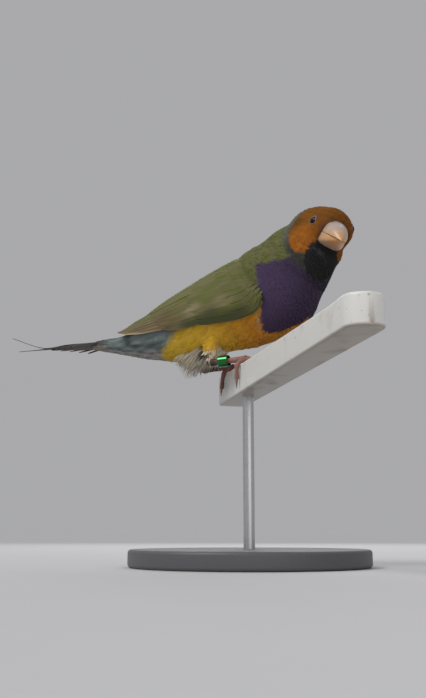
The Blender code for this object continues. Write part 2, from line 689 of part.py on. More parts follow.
def main():
    for obj in list(bpy.data.objects):
        bpy.data.objects.remove(obj)
    green = paint("green_back", (0.15, 0.17, 0.05))
    grey = paint("grey_coverts", (0.32, 0.36, 0.34))
    yellow = paint("yellow_flank", (0.50, 0.29, 0.03))
    purple = paint("purple_chest", (0.05, 0.03, 0.07))
    ochre = paint("ochre_mask", (0.33, 0.12, 0.01))
    black = paint("black_tail", (0.03, 0.03, 0.035))
    skin = paint("pink_leg", (0.45, 0.21, 0.18), 0.5)
    horn = paint("claw_horn", (0.35, 0.26, 0.22), 0.4)
    bill = paint("ivory_bill", (0.62, 0.50, 0.43), 0.35)
    eye = paint("dark_eye", (0.01, 0.007, 0.006), 0.08)
    band = paint("green_band", (0.02, 0.30, 0.06), 0.25, 0.6)
    white = paint("white_plastic", (0.72, 0.72, 0.69), 0.4)
    slate = paint("slate_stand", (0.10, 0.10, 0.11), 0.5)
    steel = paint("steel_rod", (0.55, 0.55, 0.56), 0.3, 1.0)

    make_stand(slate, steel)
    make_perch(white)
    body_section("torso", RUMP_CUT + STATION_GAP, NECK_CUT, 16, yellow)
    body_section("rump", TAIL_CUT, RUMP_CUT, 6, grey)
    neck = body_section("neck", NECK_CUT + STATION_GAP, len(BODY_STATIONS) - 1, 12, purple)
    boolean(neck, [head_solid("cutter", GAP), lid_solid(1, GAP), lid_solid(-1, GAP)], "DIFFERENCE")
    head = head_solid("head", material=ochre)
    cutters = [bill_solid("cutter", 1, GAP), bill_solid("cutter", -1, GAP)]
    for side, sign in (("right", 1), ("left", -1)):
        centre, axis = eye_place(sign)
        ball("eye_" + side, centre, axis, EYE_RADIUS, 7, 14, eye)
        cutters.append(ball("cutter", centre, axis, EYE_RADIUS + GAP, 7, 14))
    boolean(head, [lid_solid(1), lid_solid(-1)], "UNION")
    boolean(head, cutters, "DIFFERENCE")
    upper = bill_solid("bill_upper", 1, material=bill)
    nostrils = []
    for sign in (1, -1):
        place = from_head((NOSTRIL_FORWARD, sign * NOSTRIL_SIDE, CULMEN_HEIGHT - 1.2))
        nostrils.append(ball("cutter", place, HEAD_FORWARD, NOSTRIL_RADIUS, 5, 8))
    boolean(upper, nostrils, "DIFFERENCE")
    bill_solid("bill_lower", -1, material=bill)
    for side in ("right", "left"):
        make_thigh(side, yellow, body_section("cutter", RUMP_CUT, NECK_CUT, 16, lift=GAP))
        make_leg(side, skin, horn)
        make_wing(side, green)
    make_tail(black)
    heel, foot = shank_line("right")
    low, high = -RING_LENGTH / 2, RING_LENGTH / 2
    section = [(-RING_WALL, low), (0, low), (0, high), (-RING_WALL, high)]
    hoop("leg_ring", heel + (foot - heel) * RING_PLACE, foot - heel, RING_OUTER, section, 24, band)


main()
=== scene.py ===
# %% [markdown]
# A gouldian finch on its perch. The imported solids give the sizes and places, and this lesson dresses
# them: one skin under a coat of small feathers, feathered wings and tail, a horn bill, scaled legs, and
# the plastic perch on its stand. Lengths are written in millimetres and turned into metres as each mesh
# is made. +X is the way the body faces, +Y its left and +Z up, as in the solids.

import bpy
import numpy as np
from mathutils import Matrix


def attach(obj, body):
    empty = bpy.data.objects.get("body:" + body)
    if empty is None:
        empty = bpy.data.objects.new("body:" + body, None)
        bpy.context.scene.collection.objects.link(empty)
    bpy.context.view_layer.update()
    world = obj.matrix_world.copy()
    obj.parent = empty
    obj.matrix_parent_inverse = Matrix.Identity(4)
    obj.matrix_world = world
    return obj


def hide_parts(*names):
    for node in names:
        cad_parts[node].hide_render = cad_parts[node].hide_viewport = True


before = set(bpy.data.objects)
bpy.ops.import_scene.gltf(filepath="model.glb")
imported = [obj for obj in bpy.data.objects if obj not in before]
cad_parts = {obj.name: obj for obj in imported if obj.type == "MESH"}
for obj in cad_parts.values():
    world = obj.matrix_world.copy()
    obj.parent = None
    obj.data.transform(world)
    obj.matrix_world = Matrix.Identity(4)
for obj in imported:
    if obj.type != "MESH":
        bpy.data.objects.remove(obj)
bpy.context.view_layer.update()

MM = 0.001
ROOT = "root"

# %% [markdown]
# Every new piece starts as points on a grid of two parameters. The grid's squares are split into
# triangles by counting, so no loop over points is needed. A tube is a grid whose last column joins its
# first, with one point more at each end. A band is closed both ways, and a vane is two grids with a wall
# between their edges.


# %% Triangles of a grid, a tube, a thin vane and a lens
def grid_faces(rows, columns, wrap=False, loop=False):
    """Two triangles for each square between point i * columns + j and its neighbours. With wrap the
    last column joins the first, and with loop the last row joins the first."""
    i, j = np.meshgrid(np.arange(rows - (not loop)), np.arange(columns - (not wrap)), indexing="ij")
    n, k = (i + 1) % rows, (j + 1) % columns
    a, b, c, d = i * columns + j, i * columns + k, n * columns + k, n * columns + j
    return np.stack([np.stack([a, b, c], -1), np.stack([a, c, d], -1)], -2).reshape(-1, 3)


def tube_faces(rows, columns):
    """A closed tube: its rings, and a fan round one more point at each end."""
    j = np.arange(columns)
    k = (j + 1) % columns
    first, last = np.full(columns, rows * columns), np.full(columns, rows * columns + 1)
    start = (rows - 1) * columns
    ends = [np.stack([first, k, j], 1), np.stack([last, start + j, start + k], 1)]
    return np.vstack([grid_faces(rows, columns, wrap=True), *ends])


def shell_faces(rows, columns):
    """A thin closed vane: a grid above, the same grid below, and a wall round their edge."""
    index = np.arange(rows * columns).reshape(rows, columns)
    edge = np.concatenate([index[:, 0], index[-1, 1:], index[-2::-1, -1], index[0, -2:0:-1]])
    after, under = np.roll(edge, -1), rows * columns
    wall = [np.stack([edge, after, after + under], 1), np.stack([edge, after + under, edge + under], 1)]
    top = grid_faces(rows, columns)
    return np.vstack([top, top[:, ::-1] + under, *wall])


def lens_faces(rows, columns):
    """Like a vane, but both sides share the points of the edge, so only the inner ones are doubled. At
    two corners a triangle has shared points alone, and lies there twice, once for each side."""
    under = np.arange(rows * columns).reshape(rows, columns)
    inner = under[1:-1, 1:-1].shape
    under[1:-1, 1:-1] = rows * columns + np.arange(np.prod(inner)).reshape(inner)
    top = grid_faces(rows, columns)
    return np.vstack([top, under.ravel()[top][:, ::-1]])


# %% Faces that point outwards, and arrays that become objects
def outward(points, faces):
    """Turns every face round if the sum of the triple products of the corners is negative, as that
    sum is six times the volume the faces enclose."""
    a, b, c = points[faces].transpose(1, 0, 2)
    return faces if (a * np.cross(b, c)).sum() > 0 else faces[:, ::-1]


def tube(rings):
    """Points and faces of a closed tube through rings, an array of ring, side and coordinate."""
    points = np.vstack([rings.reshape(-1, 3), rings[0].mean(0), rings[-1].mean(0)])
    return points, outward(points, tube_faces(*rings.shape[:2]))


def band(rings):
    """Points and faces of a band through rings, whose last ring joins its first."""
    points = rings.reshape(-1, 3)
    return points, outward(points, grid_faces(*rings.shape[:2], wrap=True, loop=True))


def copies(points, faces):
    """The same faces for every row of points, each row's counted on from the rows before it."""
    start = np.arange(len(points))[:, None, None] * points.shape[1]
    return points.reshape(-1, 3), (outward(points[0], faces) + start).reshape(-1, 3)


def joined(parts):
    """Several pairs of points and faces as one pair."""
    starts = np.cumsum([0] + [len(points) for points, _ in parts])[:-1]
    faces = [faces + start for (_, faces), start in zip(parts, starts)]
    return np.vstack([points for points, _ in parts]), np.vstack(faces)


def placed(name, data):
    """An object with this data, in the scene and at its origin."""
    obj = bpy.data.objects.new(name, data)
    bpy.context.scene.collection.objects.link(obj)
    return obj


def new_object(name, points, faces, sharp=50):
    """A mesh object from points in millimetres, smooth but for edges sharper than so many degrees."""
    mesh = bpy.data.meshes.new(name)
    mesh.vertices.add(len(points))
    mesh.vertices.foreach_set("co", (points * MM).astype(np.float32).ravel())
    mesh.loops.add(faces.size)
    mesh.loops.foreach_set("vertex_index", faces.astype(np.int32).ravel())
    mesh.polygons.add(len(faces))
    mesh.polygons.foreach_set("loop_start", np.arange(0, faces.size, 3, dtype=np.int32))
    mesh.update(calc_edges=True)
    mesh.shade_smooth()
    mesh.set_sharp_from_angle(angle=np.radians(sharp))
    return placed(name, mesh)


def dress(obj, material, slot, *nodes):
    """Gives a finished piece its material and its body, and hides the solids it stands for. The slot is
    not used.
    """
    obj.data.materials.clear()
    obj.data.materials.append(material)
    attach(obj, ROOT)
    if nodes:
        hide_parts(*nodes)
    print(obj.name, len(obj.data.polygons), "faces")
    return obj


def put(mesh, name, kind, values):
    """Stores one value for each point of a mesh under a name that a material can read."""
    attribute = mesh.attributes.new(name, kind, "POINT")
    attribute.data.foreach_set("color" if "COLOR" in kind else "vector", values.astype(np.float32).ravel())


def paint(obj, colours):
    """Stores the tint of each point, with the fourth number that a colour attribute has."""
    put(obj.data, "tint", "FLOAT_COLOR", np.concatenate([colours, np.ones((len(colours), 1))], 1))


# %% [markdown]
# A material is a small program that Blender draws as nodes. Written as formulas it is easier to read,
# so a wire here is one socket, and adding or multiplying wires adds the Math nodes. Every other node
# comes from one method, which sets the node's settings first and then its sockets.


# %% Wires for shader formulas
class Wire:
    """One output socket in a material. + - * / with numbers or other wires add Math nodes."""

    def __init__(self, socket):
        self.socket = socket
        self.tree = socket.id_data

    def node(self, kind, settings=None, inputs=None, output=0):
        """Adds a node of this kind, sets its settings, then its sockets, and gives one of its outputs."""
        made = self.tree.nodes.new("ShaderNode" + kind)
        for key, value in (settings or {}).items():
            setattr(made, key, value)
        for key, value in (inputs or {}).items():
            if isinstance(value, Wire):
                self.tree.links.new(value.socket, made.inputs[key])
            else:
                made.inputs[key].default_value = value
        return Wire(made.outputs[output])

    def math(self, operation, first, second):
        return self.node("Math", {"operation": operation}, {0: first, 1: second})

    def __add__(self, other):
        return self.math("ADD", self, other)

    def __radd__(self, other):
        return self.math("ADD", other, self)

    def __sub__(self, other):
        return self.math("SUBTRACT", self, other)

    def __rsub__(self, other):
        return self.math("SUBTRACT", other, self)

    def __mul__(self, other):
        return self.math("MULTIPLY", self, other)

    def __rmul__(self, other):
        return self.math("MULTIPLY", other, self)

    def to(self, shader, name):
        """Joins this wire to a socket of the shader."""
        self.tree.links.new(self.socket, shader.inputs[name])


# %% A material to start from, and the formulas that several finishes share
def new_finish(name, roughness, **sockets):
    """A material, its shader with fixed values set on the shader's own sockets, and the place wire."""
    material = bpy.data.materials.new(name)
    material.use_nodes = True
    shader = material.node_tree.nodes["Principled BSDF"]
    shader.inputs["Roughness"].default_value = roughness
    for socket, value in sockets.items():
        shader.inputs[socket.replace("_", " ")].default_value = value
    place = Wire(material.node_tree.nodes.new("ShaderNodeTexCoord").outputs["Object"])
    return material, shader, place


def noise(place, size, detail=3.0, stretch=(1.0, 1.0, 1.0)):
    """Soft noise between 0 and 1 whose lumps are size millimetres, stretched along some axes."""
    scale = tuple(1.0 / (size * MM * s) for s in stretch)
    moved = place.node("Mapping", inputs={0: place, 3: scale})
    return place.node("TexNoise", inputs={"Vector": moved, "Scale": 1.0, "Detail": detail})


def stored(place, name, output=0):
    """What the mesh stores under a name: its colour from output 0, its vector from output 1."""
    return place.node("Attribute", {"attribute_name": name}, output=output)


def eased(value, low, high, start=0.0, end=1.0):
    """A smooth rise or fall from start, where the value is low, to end, where it is high."""
    limits = {0: value, 1: low, 2: high, 3: start, 4: end}
    return value.node("MapRange", {"interpolation_type": "SMOOTHSTEP"}, limits)


def blend(amount, first, second):
    """A colour between two: the first at amount 0, the second at amount 1."""
    return amount.node("Mix", {"data_type": "RGBA"}, {0: amount, 6: first, 7: second}, output=2)


def product(first, second):
    """Two colours multiplied."""
    settings = {"data_type": "RGBA", "blend_type": "MULTIPLY"}
    return first.node("Mix", settings, {0: 1.0, 6: first, 7: second}, output=2)


def tinted(colour, amount):
    """A colour made lighter or darker by an amount near 1."""
    grey = amount.node("CombineXYZ", inputs={0: amount, 1: amount, 2: amount})
    return amount.node("VectorMath", {"operation": "MULTIPLY"}, {0: colour, 1: grey})


def bumped(height, depth):
    """The normal of a surface raised by height, 0 to 1, times a depth in millimetres."""
    return height.node("Bump", inputs={"Height": height, "Distance": depth * MM, "Strength": 1.0})


def roughened(value, middle):
    """A roughness that runs from a tenth below the middle to a tenth above it as the value does."""
    return value * 0.2 + (middle - 0.1)


# %% [markdown]
# The camera stands low and near, to the bird's right and in front, and looks up a little. Its place was
# fitted to the perch's edges and the bird's known lengths in the photograph.

# %% The camera
from mathutils import Matrix

CAMERA_PLACE = np.array([129.19, -281.30, 11.18])
CAMERA_TURN, CAMERA_RISE = np.radians(27.0), np.radians(12.0)
# The photograph is upright, so its height in pixels and the focal length give the lens.
PHOTO_HEIGHT, FOCAL_PIXELS = 698, 870
SENSOR = 36.0
CLIP_NEAR, CLIP_FAR = 0.01, 50.0

camera = placed("camera", bpy.data.cameras.new("camera"))
camera.data.sensor_width = SENSOR
camera.data.lens = FOCAL_PIXELS / PHOTO_HEIGHT * SENSOR
camera.data.clip_start, camera.data.clip_end = CLIP_NEAR, CLIP_FAR
level = np.array([-np.sin(CAMERA_TURN), np.cos(CAMERA_TURN), 0.0])
ahead = level * np.cos(CAMERA_RISE) + np.array([0.0, 0.0, np.sin(CAMERA_RISE)])
beside = np.array([np.cos(CAMERA_TURN), np.sin(CAMERA_TURN), 0.0])
axes = np.eye(4)
axes[:3, :3] = np.stack([beside, np.cross(beside, ahead), -ahead], 1)
axes[:3, 3] = CAMERA_PLACE * MM
camera.matrix_world = Matrix(axes.tolist())
bpy.context.scene.camera = camera
print("Lens", round(camera.data.lens, 2), "mm")

# %% [markdown]
# The body under the feathers is a loft: thirteen sections, each two half ellipses on one centre, lean
# more and more forward from the tail to the crown. Catmull-Rom curves read the table between its rows.
# The same two parameters, the station and the angle round the section, then serve as the map on which
# wings, markings and feathers are laid out.


# %% The body as a surface of station and angle
def unit(vector):
    """Vectors at length one."""
    return vector / np.linalg.norm(vector, axis=-1, keepdims=True)


def full_turn(count):
    """Evenly spaced angles round a circle, the last of them one step before the first."""
    return np.linspace(0, 2 * np.pi, count, endpoint=False)


def rise_of(angle):
    """How many degrees an angle round a section is above its widest line, alike on both sides."""
    return np.degrees(np.arcsin(np.clip(np.sin(angle), -1, 1)))


def smooth_rows(table, u):
    """A table read between its rows on Catmull-Rom curves, whose slope at a row is half the step from
    the row before to the row after."""
    u = np.clip(np.asarray(u, float), 0, len(table) - 1)
    i = np.minimum(u.astype(int), len(table) - 2)
    t = (u - i)[..., None]
    padded = np.vstack([2 * table[0] - table[1], table, 2 * table[-1] - table[-2]])
    a, b, c, d = (padded[i + k] for k in range(4))
    curved = (2 * a - 5 * b + 4 * c - d) * t**2 + (3 * b - a - 3 * c + d) * t**3
    return 0.5 * (2 * b + (c - a) * t + curved)


# Centre x, y, z, forward lean in degrees, half width, height above and depth below the centre.
BODY_STATIONS = np.array(
    [
        (-71.0, 0.0, 85.0, 0.0, 2.6, 1.0, 1.4),
        (-61.0, 0.0, 84.4, 2.0, 5.0, 2.2, 3.2),
        (-50.0, 0.0, 84.0, 6.0, 7.2, 3.4, 5.6),
        (-40.0, 0.0, 85.0, 12.0, 9.8, 6.4, 9.2),
        (-28.0, 0.0, 88.0, 15.0, 11.6, 9.6, 14.2),
        (-14.0, 0.0, 91.5, 18.0, 12.9, 12.0, 15.8),
        (0.0, 0.0, 95.0, 24.0, 13.7, 14.2, 18.6),
        (11.0, 0.0, 99.0, 38.0, 14.0, 15.4, 18.8),
        (18.0, 0.0, 105.0, 48.0, 12.9, 13.8, 15.0),
        (23.0, 0.2, 110.5, 52.0, 10.9, 13.0, 13.0),
        (27.5, 0.3, 115.0, 52.0, 9.2, 11.3, 10.0),
        (30.5, 0.4, 117.5, 45.0, 7.8, 10.9, 7.0),
        (32.5, 0.4, 118.5, 38.0, 6.6, 7.9, 5.0),
    ]
)
LAST_STATION = len(BODY_STATIONS) - 1.0
# Places on the body are looked up among this many rings, for so many points at a time.
PLACE_RINGS, PLACE_POINTS = 361, 8000


def section_axes(row):
    """The forward and upward directions of leaning sections."""
    lean = np.radians(row[..., 3])
    cos, sin, zero = np.cos(lean), np.sin(lean), np.zeros_like(lean)
    return np.stack([cos, zero, sin], -1), np.stack([-sin, zero, cos], -1)


def body_point(u, v):
    """Centre, plus height times sin v upwards, less half width times cos v to the left: angle 0 is the
    right side, a quarter turn is the back."""
    u, v = np.broadcast_arrays(np.asarray(u, float), np.asarray(v, float))
    row = smooth_rows(BODY_STATIONS, u)
    _, up = section_axes(row)
    height = np.where(np.sin(v) > 0, row[..., 5], row[..., 6])
    point = row[..., :3] + (height * np.sin(v))[..., None] * up
    point[..., 1] -= row[..., 4] * np.cos(v)
    return point


def body_slopes(u, v, step=1e-3):
    """How the surface point moves with the station and with the angle, from small steps both ways."""
    along = (body_point(u + step, v) - body_point(u - step, v)) / (2 * step)
    over = (body_point(u, v + step) - body_point(u, v - step)) / (2 * step)
    return along, over


def lifted(u, v, lift):
    """The surface point moved out along the normal, the cross product of the two slopes."""
    return body_point(u, v) + unit(np.cross(*body_slopes(u, v))) * np.asarray(lift)[..., None]


def body_place(points):
    """Station, angle and share of the section's own radius of points near the body: the station is
    the one whose ring is nearest, by the distance ahead of it and the distance from its outline."""
    stations = np.linspace(0, LAST_STATION, PLACE_RINGS)
    row = smooth_rows(BODY_STATIONS, stations)
    forward, up = section_axes(row)
    best = []
    for some in np.array_split(points, max(1, len(points) // PLACE_POINTS)):
        away = some[:, None] - row[:, :3]
        ahead = (away * forward).sum(-1)
        rise = (away * up).sum(-1)
        height = np.where(rise > 0, row[:, 5], row[:, 6])
        share = np.hypot(away[..., 1] / row[:, 4], rise / height)
        k = np.argmin(ahead**2 + ((share - 1) * row[:, 4]) ** 2, axis=1)
        pick = np.arange(len(some)), k
        angle = np.arctan2((rise / height)[pick], -away[..., 1][pick] / row[k, 4])
        best.append(np.stack([stations[k], angle, share[pick]], 1))
    return np.vstack(best).T


print("Body from", body_point(0.0, 0.0).round(1), "to", body_point(LAST_STATION, 0.0).round(1))

# %% [markdown]
# The head is a second loft along its own axis, because it is turned to the right and tipped down. It
# carries the eyes and the bill, so their places are written in its frame: forward, right and up.

# %% The head as a surface of forward place and angle
HEAD_CENTRE = np.array([31.8, 0.4, 117.0])
HEAD_FORWARD = unit(np.array([0.577, -0.748, -0.329]))
HEAD_RIGHT = unit(np.cross(HEAD_FORWARD, [0.308, -0.175, 0.935]))
HEAD_AXES = np.array([HEAD_FORWARD, HEAD_RIGHT, np.cross(HEAD_RIGHT, HEAD_FORWARD)])
# Forward, centre height, half height and half width.
HEAD_STATIONS = np.array(
    [
        (-9.8, 0.2, 2.2, 2.0),
        (-8.2, 0.1, 4.8, 4.7),
        (-5.2, -0.1, 7.4, 7.0),
        (-1.3, -0.4, 8.7, 8.2),
        (2.5, -0.5, 8.7, 8.2),
        (5.5, -0.7, 7.8, 7.6),
        (7.6, -1.0, 6.3, 6.2),
        (9.2, -1.2, 4.2, 4.1),
    ]
)

# Below the far eye the cheek is flatter: by how much, round which angle, and how far to either side.
CHEEK_FLAT, CHEEK_ANGLE, CHEEK_SPREAD = 0.13, np.radians(210), 0.45


def from_head(local):
    """Points given forward, right and up in the head's frame, in the model's own."""
    return HEAD_CENTRE + np.asarray(local, float) @ HEAD_AXES


def head_row(forward):
    """Centre height, half height and half width of the head at forward places."""
    index = np.interp(forward, HEAD_STATIONS[:, 0], np.arange(len(HEAD_STATIONS)))
    return smooth_rows(HEAD_STATIONS, index)[..., 1:]


def head_place(points):
    """Forward, right and up in the head's frame, and the share of the section's own radius there."""
    forward, right, up = ((points - HEAD_CENTRE) @ HEAD_AXES.T).T
    middle, half_height, half_width = head_row(forward).T
    share = np.hypot(right / half_width, (up - middle) / half_height)
    low, high = HEAD_STATIONS[0, 0], HEAD_STATIONS[-1, 0]
    beyond = np.maximum(low - forward, 0) + np.maximum(forward - high, 0)
    return forward, right, up, share + beyond / 4


def head_rings(count, sides, sink):
    """Rings of the head's loft, pulled in by sink, and flatter below the far eye, where the cheek
    falls straight to the throat."""
    row = smooth_rows(HEAD_STATIONS, np.linspace(0, len(HEAD_STATIONS) - 1, count))
    turn = full_turn(sides)
    forward = np.repeat(row[:, :1], sides, axis=1)
    flat = CHEEK_FLAT * np.exp(-(((turn - CHEEK_ANGLE) / CHEEK_SPREAD) ** 2))
    flat = 1 - flat * np.clip(forward / 4 + 0.5, 0, 1)
    right = (row[:, 3:4] - sink) * np.cos(turn) * flat
    up = row[:, 1:2] + (row[:, 2:3] - sink) * np.sin(turn) * flat
    return from_head(np.stack([forward, right, up], -1))


# %% [markdown]
# One skin lies under the coat. Body, head and thighs are lofted a little smaller than the solids, by the
# coat's depth, then a voxel remesh fuses them and smoothing rounds the creases where they meet, so no
# seam shows between the parts. Its points are then read back, because feathers are planted on it.

# %% The skin
BODY_COAT, HEAD_COAT = 0.65, 0.35
SKIN_START = 0.35
SKIN_VOXEL, SOFTENING, SOFTENING_ROUNDS = 0.55, 0.6, 20
# Two soft swellings fill the hollows where the head meets the neck: centre and half sizes.
SWELLINGS = {
    "crown": ((28.6, -2.0, 116.0), (12.0, 5.0, 9.7)),
    "throat": ((30.5, 1.5, 110.5), (6.0, 5.0, 7.0)),
}
# The feathers stand up along the nape and the mantle: station, how wide along it, and height.
BACK_SWELLS = ((8.8, 1.0, 0.7), (7.3, 1.0, 1.6))
HIPS = {"right": np.array([-10.4, -6.8, 80.0]), "left": np.array([-20.5, 6.2, 80.0])}
HEELS = {"right": np.array([-10.6, -8.0, 71.4]), "left": np.array([-21.5, 7.2, 72.2])}

# The first and last ring of a ball stand this angle off its poles.
POLE = 0.02


def round_tube(path, radii, sides, up=(0.0, 0.0, 1.0)):
    """Rings of round section along a path, each square to the path's direction there."""
    forward = unit(np.gradient(path, axis=0))
    across = unit(np.cross(forward, up))
    turn = full_turn(sides)[None, :, None]
    spoke = np.cos(turn) * across[:, None] + np.sin(turn) * np.cross(across, forward)[:, None]
    return path[:, None] + np.asarray(radii)[:, None, None] * spoke


def thigh_path(side, count=24):
    """The thigh's middle line and its share of the way from hip to heel."""
    share = np.linspace(0, 1, count)
    start = HIPS[side] + np.array([0.0, 0.0, 5.0])
    return start + (HEELS[side] - start) * share[:, None], share


def ball_rings(rings, sides):
    """Rings of a ball of radius one: height minus the cosine, radius the sine of the polar angle."""
    polar = np.linspace(POLE, np.pi - POLE, rings)[:, None]
    turn = full_turn(sides)[None]
    parts = np.sin(polar) * np.cos(turn), np.sin(polar) * np.sin(turn), -np.cos(polar) + 0 * turn
    return np.stack(parts, -1)


def flesh():
    """The lofts of body, head and thighs as overlapping closed tubes."""
    u, v = np.meshgrid(np.linspace(SKIN_START, LAST_STATION, 120), full_turn(96), indexing="ij")
    swell = sum(height * np.exp(-(((u - middle) / wide) ** 2)) for middle, wide, height in BACK_SWELLS)
    swell = swell * np.clip(np.sin(v), 0, 1)
    parts = [tube(lifted(u, v, swell - BODY_COAT)), tube(head_rings(40, 72, HEAD_COAT))]
    for centre, sizes in SWELLINGS.values():
        parts.append(tube(centre + ball_rings(32, 48) * (np.array(sizes) - HEAD_COAT)))
    for side in ("right", "left"):
        path, share = thigh_path(side)
        parts.append(tube(round_tube(path, 0.8 + 1.3 * (1 - share**2), 32, up=(0.3, 1.0, 0.0))))
    return joined(parts)


def applied(obj):
    """Replaces a mesh by what its modifiers make of it."""
    graph = bpy.context.evaluated_depsgraph_get()
    mesh = bpy.data.meshes.new_from_object(obj.evaluated_get(graph))
    obj.modifiers.clear()
    old, obj.data = obj.data, mesh
    bpy.data.meshes.remove(old)
    mesh.name = obj.name


skin = new_object("skin", *flesh())
fuse = skin.modifiers.new("fuse", "REMESH")
fuse.mode = "VOXEL"
fuse.voxel_size = SKIN_VOXEL * MM
fuse.use_smooth_shade = True
soften = skin.modifiers.new("soften", "SMOOTH")
soften.factor, soften.iterations = SOFTENING, SOFTENING_ROUNDS
skin.modifiers.new("triangles", "TRIANGULATE")
applied(skin)
print("Skin has", len(skin.data.polygons), "triangles")


# %% Reading the skin back as arrays
def read_mesh(mesh):
    """Points in millimetres, triangles and point normals of a mesh."""
    points = np.empty(3 * len(mesh.vertices), np.float32)
    mesh.vertices.foreach_get("co", points)
    faces = np.empty(len(mesh.loops), np.int32)
    mesh.loops.foreach_get("vertex_index", faces)
    normals = np.empty(3 * len(mesh.vertices), np.float32)
    mesh.vertex_normals.foreach_get("vector", normals)
    return points.reshape(-1, 3) / MM, faces.reshape(-1, 3), normals.reshape(-1, 3)


skin_points, skin_faces, skin_normals = read_mesh(skin.data)
first, second, third = skin_points[skin_faces].transpose(1, 0, 2)
face_areas = 0.5 * np.linalg.norm(np.cross(second - first, third - first), axis=1)
print("Skin area", round(face_areas.sum()), "square mm")

# %% [markdown]
# The bird's colours are one function of place, used for the skin and for every feather, so both carry
# the same markings. Each border is a soft step across a line on the body's map, or across a sphere round
# the face for the mask, with a little noise so that no border is a ruled line. The right side follows the
# photograph. The left, which it mostly hides, mirrors it, but for painted shade on the far edge of the
# face.
# Painted shade also darkens the rear of the cheek, and the front and underside of the purple bib.

# %% Plumage colours
GREEN = np.array([0.112, 0.126, 0.032])
OLIVE = np.array([0.158, 0.142, 0.070])
PURPLE = np.array([0.072, 0.045, 0.098])
YELLOW = np.array([0.840, 0.480, 0.025])
AMBER = np.array([0.640, 0.250, 0.012])
ORANGE = np.array([0.380, 0.118, 0.006])
SOOT = np.array([0.022, 0.021, 0.022])
SLATE = np.array([0.130, 0.128, 0.100])
TEAL_GREY = np.array([0.155, 0.190, 0.180])
CREAM = np.array([0.780, 0.750, 0.690])

# The purple bib's rear edge: angle up from the belly line in degrees, and the station there.
BIB_REAR = np.array(
    [(-90, 7.2), (-81, 6.85), (-75, 6.43), (-67, 6.21), (-58, 6.17), (-42, 6.33), (-12, 6.7), (20, 7.2)]
)
# The bib's upper edge, under the green nape: station, and the angle there.
BIB_TOP = np.array([(6.6, 28.0), (7.16, 21.0), (7.45, 14.0), (7.72, 7.0), (8.3, -8.0), (9.0, -24.0)])
# Where the yellow flank starts, in front of the grey rear: angle and station.
YELLOW_REAR = np.array([(-90, 3.35), (-60, 3.4), (-40, 3.7), (-20, 4.2), (20, 4.6)])
# The edge of the pale belly: station, and how far below the widest line it starts there.
BELLY_EDGE = np.array([(3.9, 92.0), (4.2, 80.0), (4.6, 74.0)])
# The lower edge of the olive back and nape: station and angle.
OLIVE_EDGE = np.array([(5.8, 16.0), (6.5, 10.0), (7.2, -60.0)])
# Behind this station lie the ashy feathers over the tail's root.
TAIL_END = 1.2
# The way the flank feathers are combed: back and down over the side.
FLANK_COMB = np.array([-0.6, 0.0, -0.8])
# The long wisps between the legs, and the thighs, are a warm beige.
BEIGE = np.array([0.860, 0.780, 0.620])
# The mask is what lies in a ball, flattened along the head, down to the cheek's lower edge. The black
# throat lies in a tube along the head's own axis, and a dark ring runs round the bill. All are in the
# head's frame: forward, right and up.
MASK_CENTRE, MASK_RADIUS, MASK_FLAT = np.array([5.2, 1.45, -2.0]), 13.5, np.array([0.90, 1.0, 1.0])
CHEEK_LOW = -9.6
BAND_WIDTH = 2.1
THROAT_MIDDLE, THROAT_HALF = np.array([2.5, -11.0]), np.array([6.5, 7.2])
BILL_MIDDLE, BILL_RING_WIDTH, BILL_RING_HEIGHT = -1.2, 4.7, 4.8


def step(value, edge, soft):
    """0 below the edge and 1 above it, with a smooth rise soft wide."""
    t = np.clip((value - edge) / soft + 0.5, 0, 1)
    return t * t * (3 - 2 * t)


def line(value, middle, half):
    """1 on a line and 0 further than half away from it."""
    return np.clip(1 - np.abs(value - middle) / half, 0, 1)


def mixed(first, second, amount):
    """Between two colours or rows of colours, by an amount for each row."""
    return first + (second - first) * amount[:, None]


def ripple(points, size, seed):
    """A smooth wave of place between -1 and 1: the mean of sines along five seeded directions."""
    draw = np.random.default_rng(seed)
    ways = unit(draw.normal(size=(5, 3))) * draw.uniform(0.7, 1.6, (5, 1)) * 2 * np.pi / size
    return np.sin(points @ ways.T + draw.uniform(0, 2 * np.pi, 5)).mean(1) * 1.6


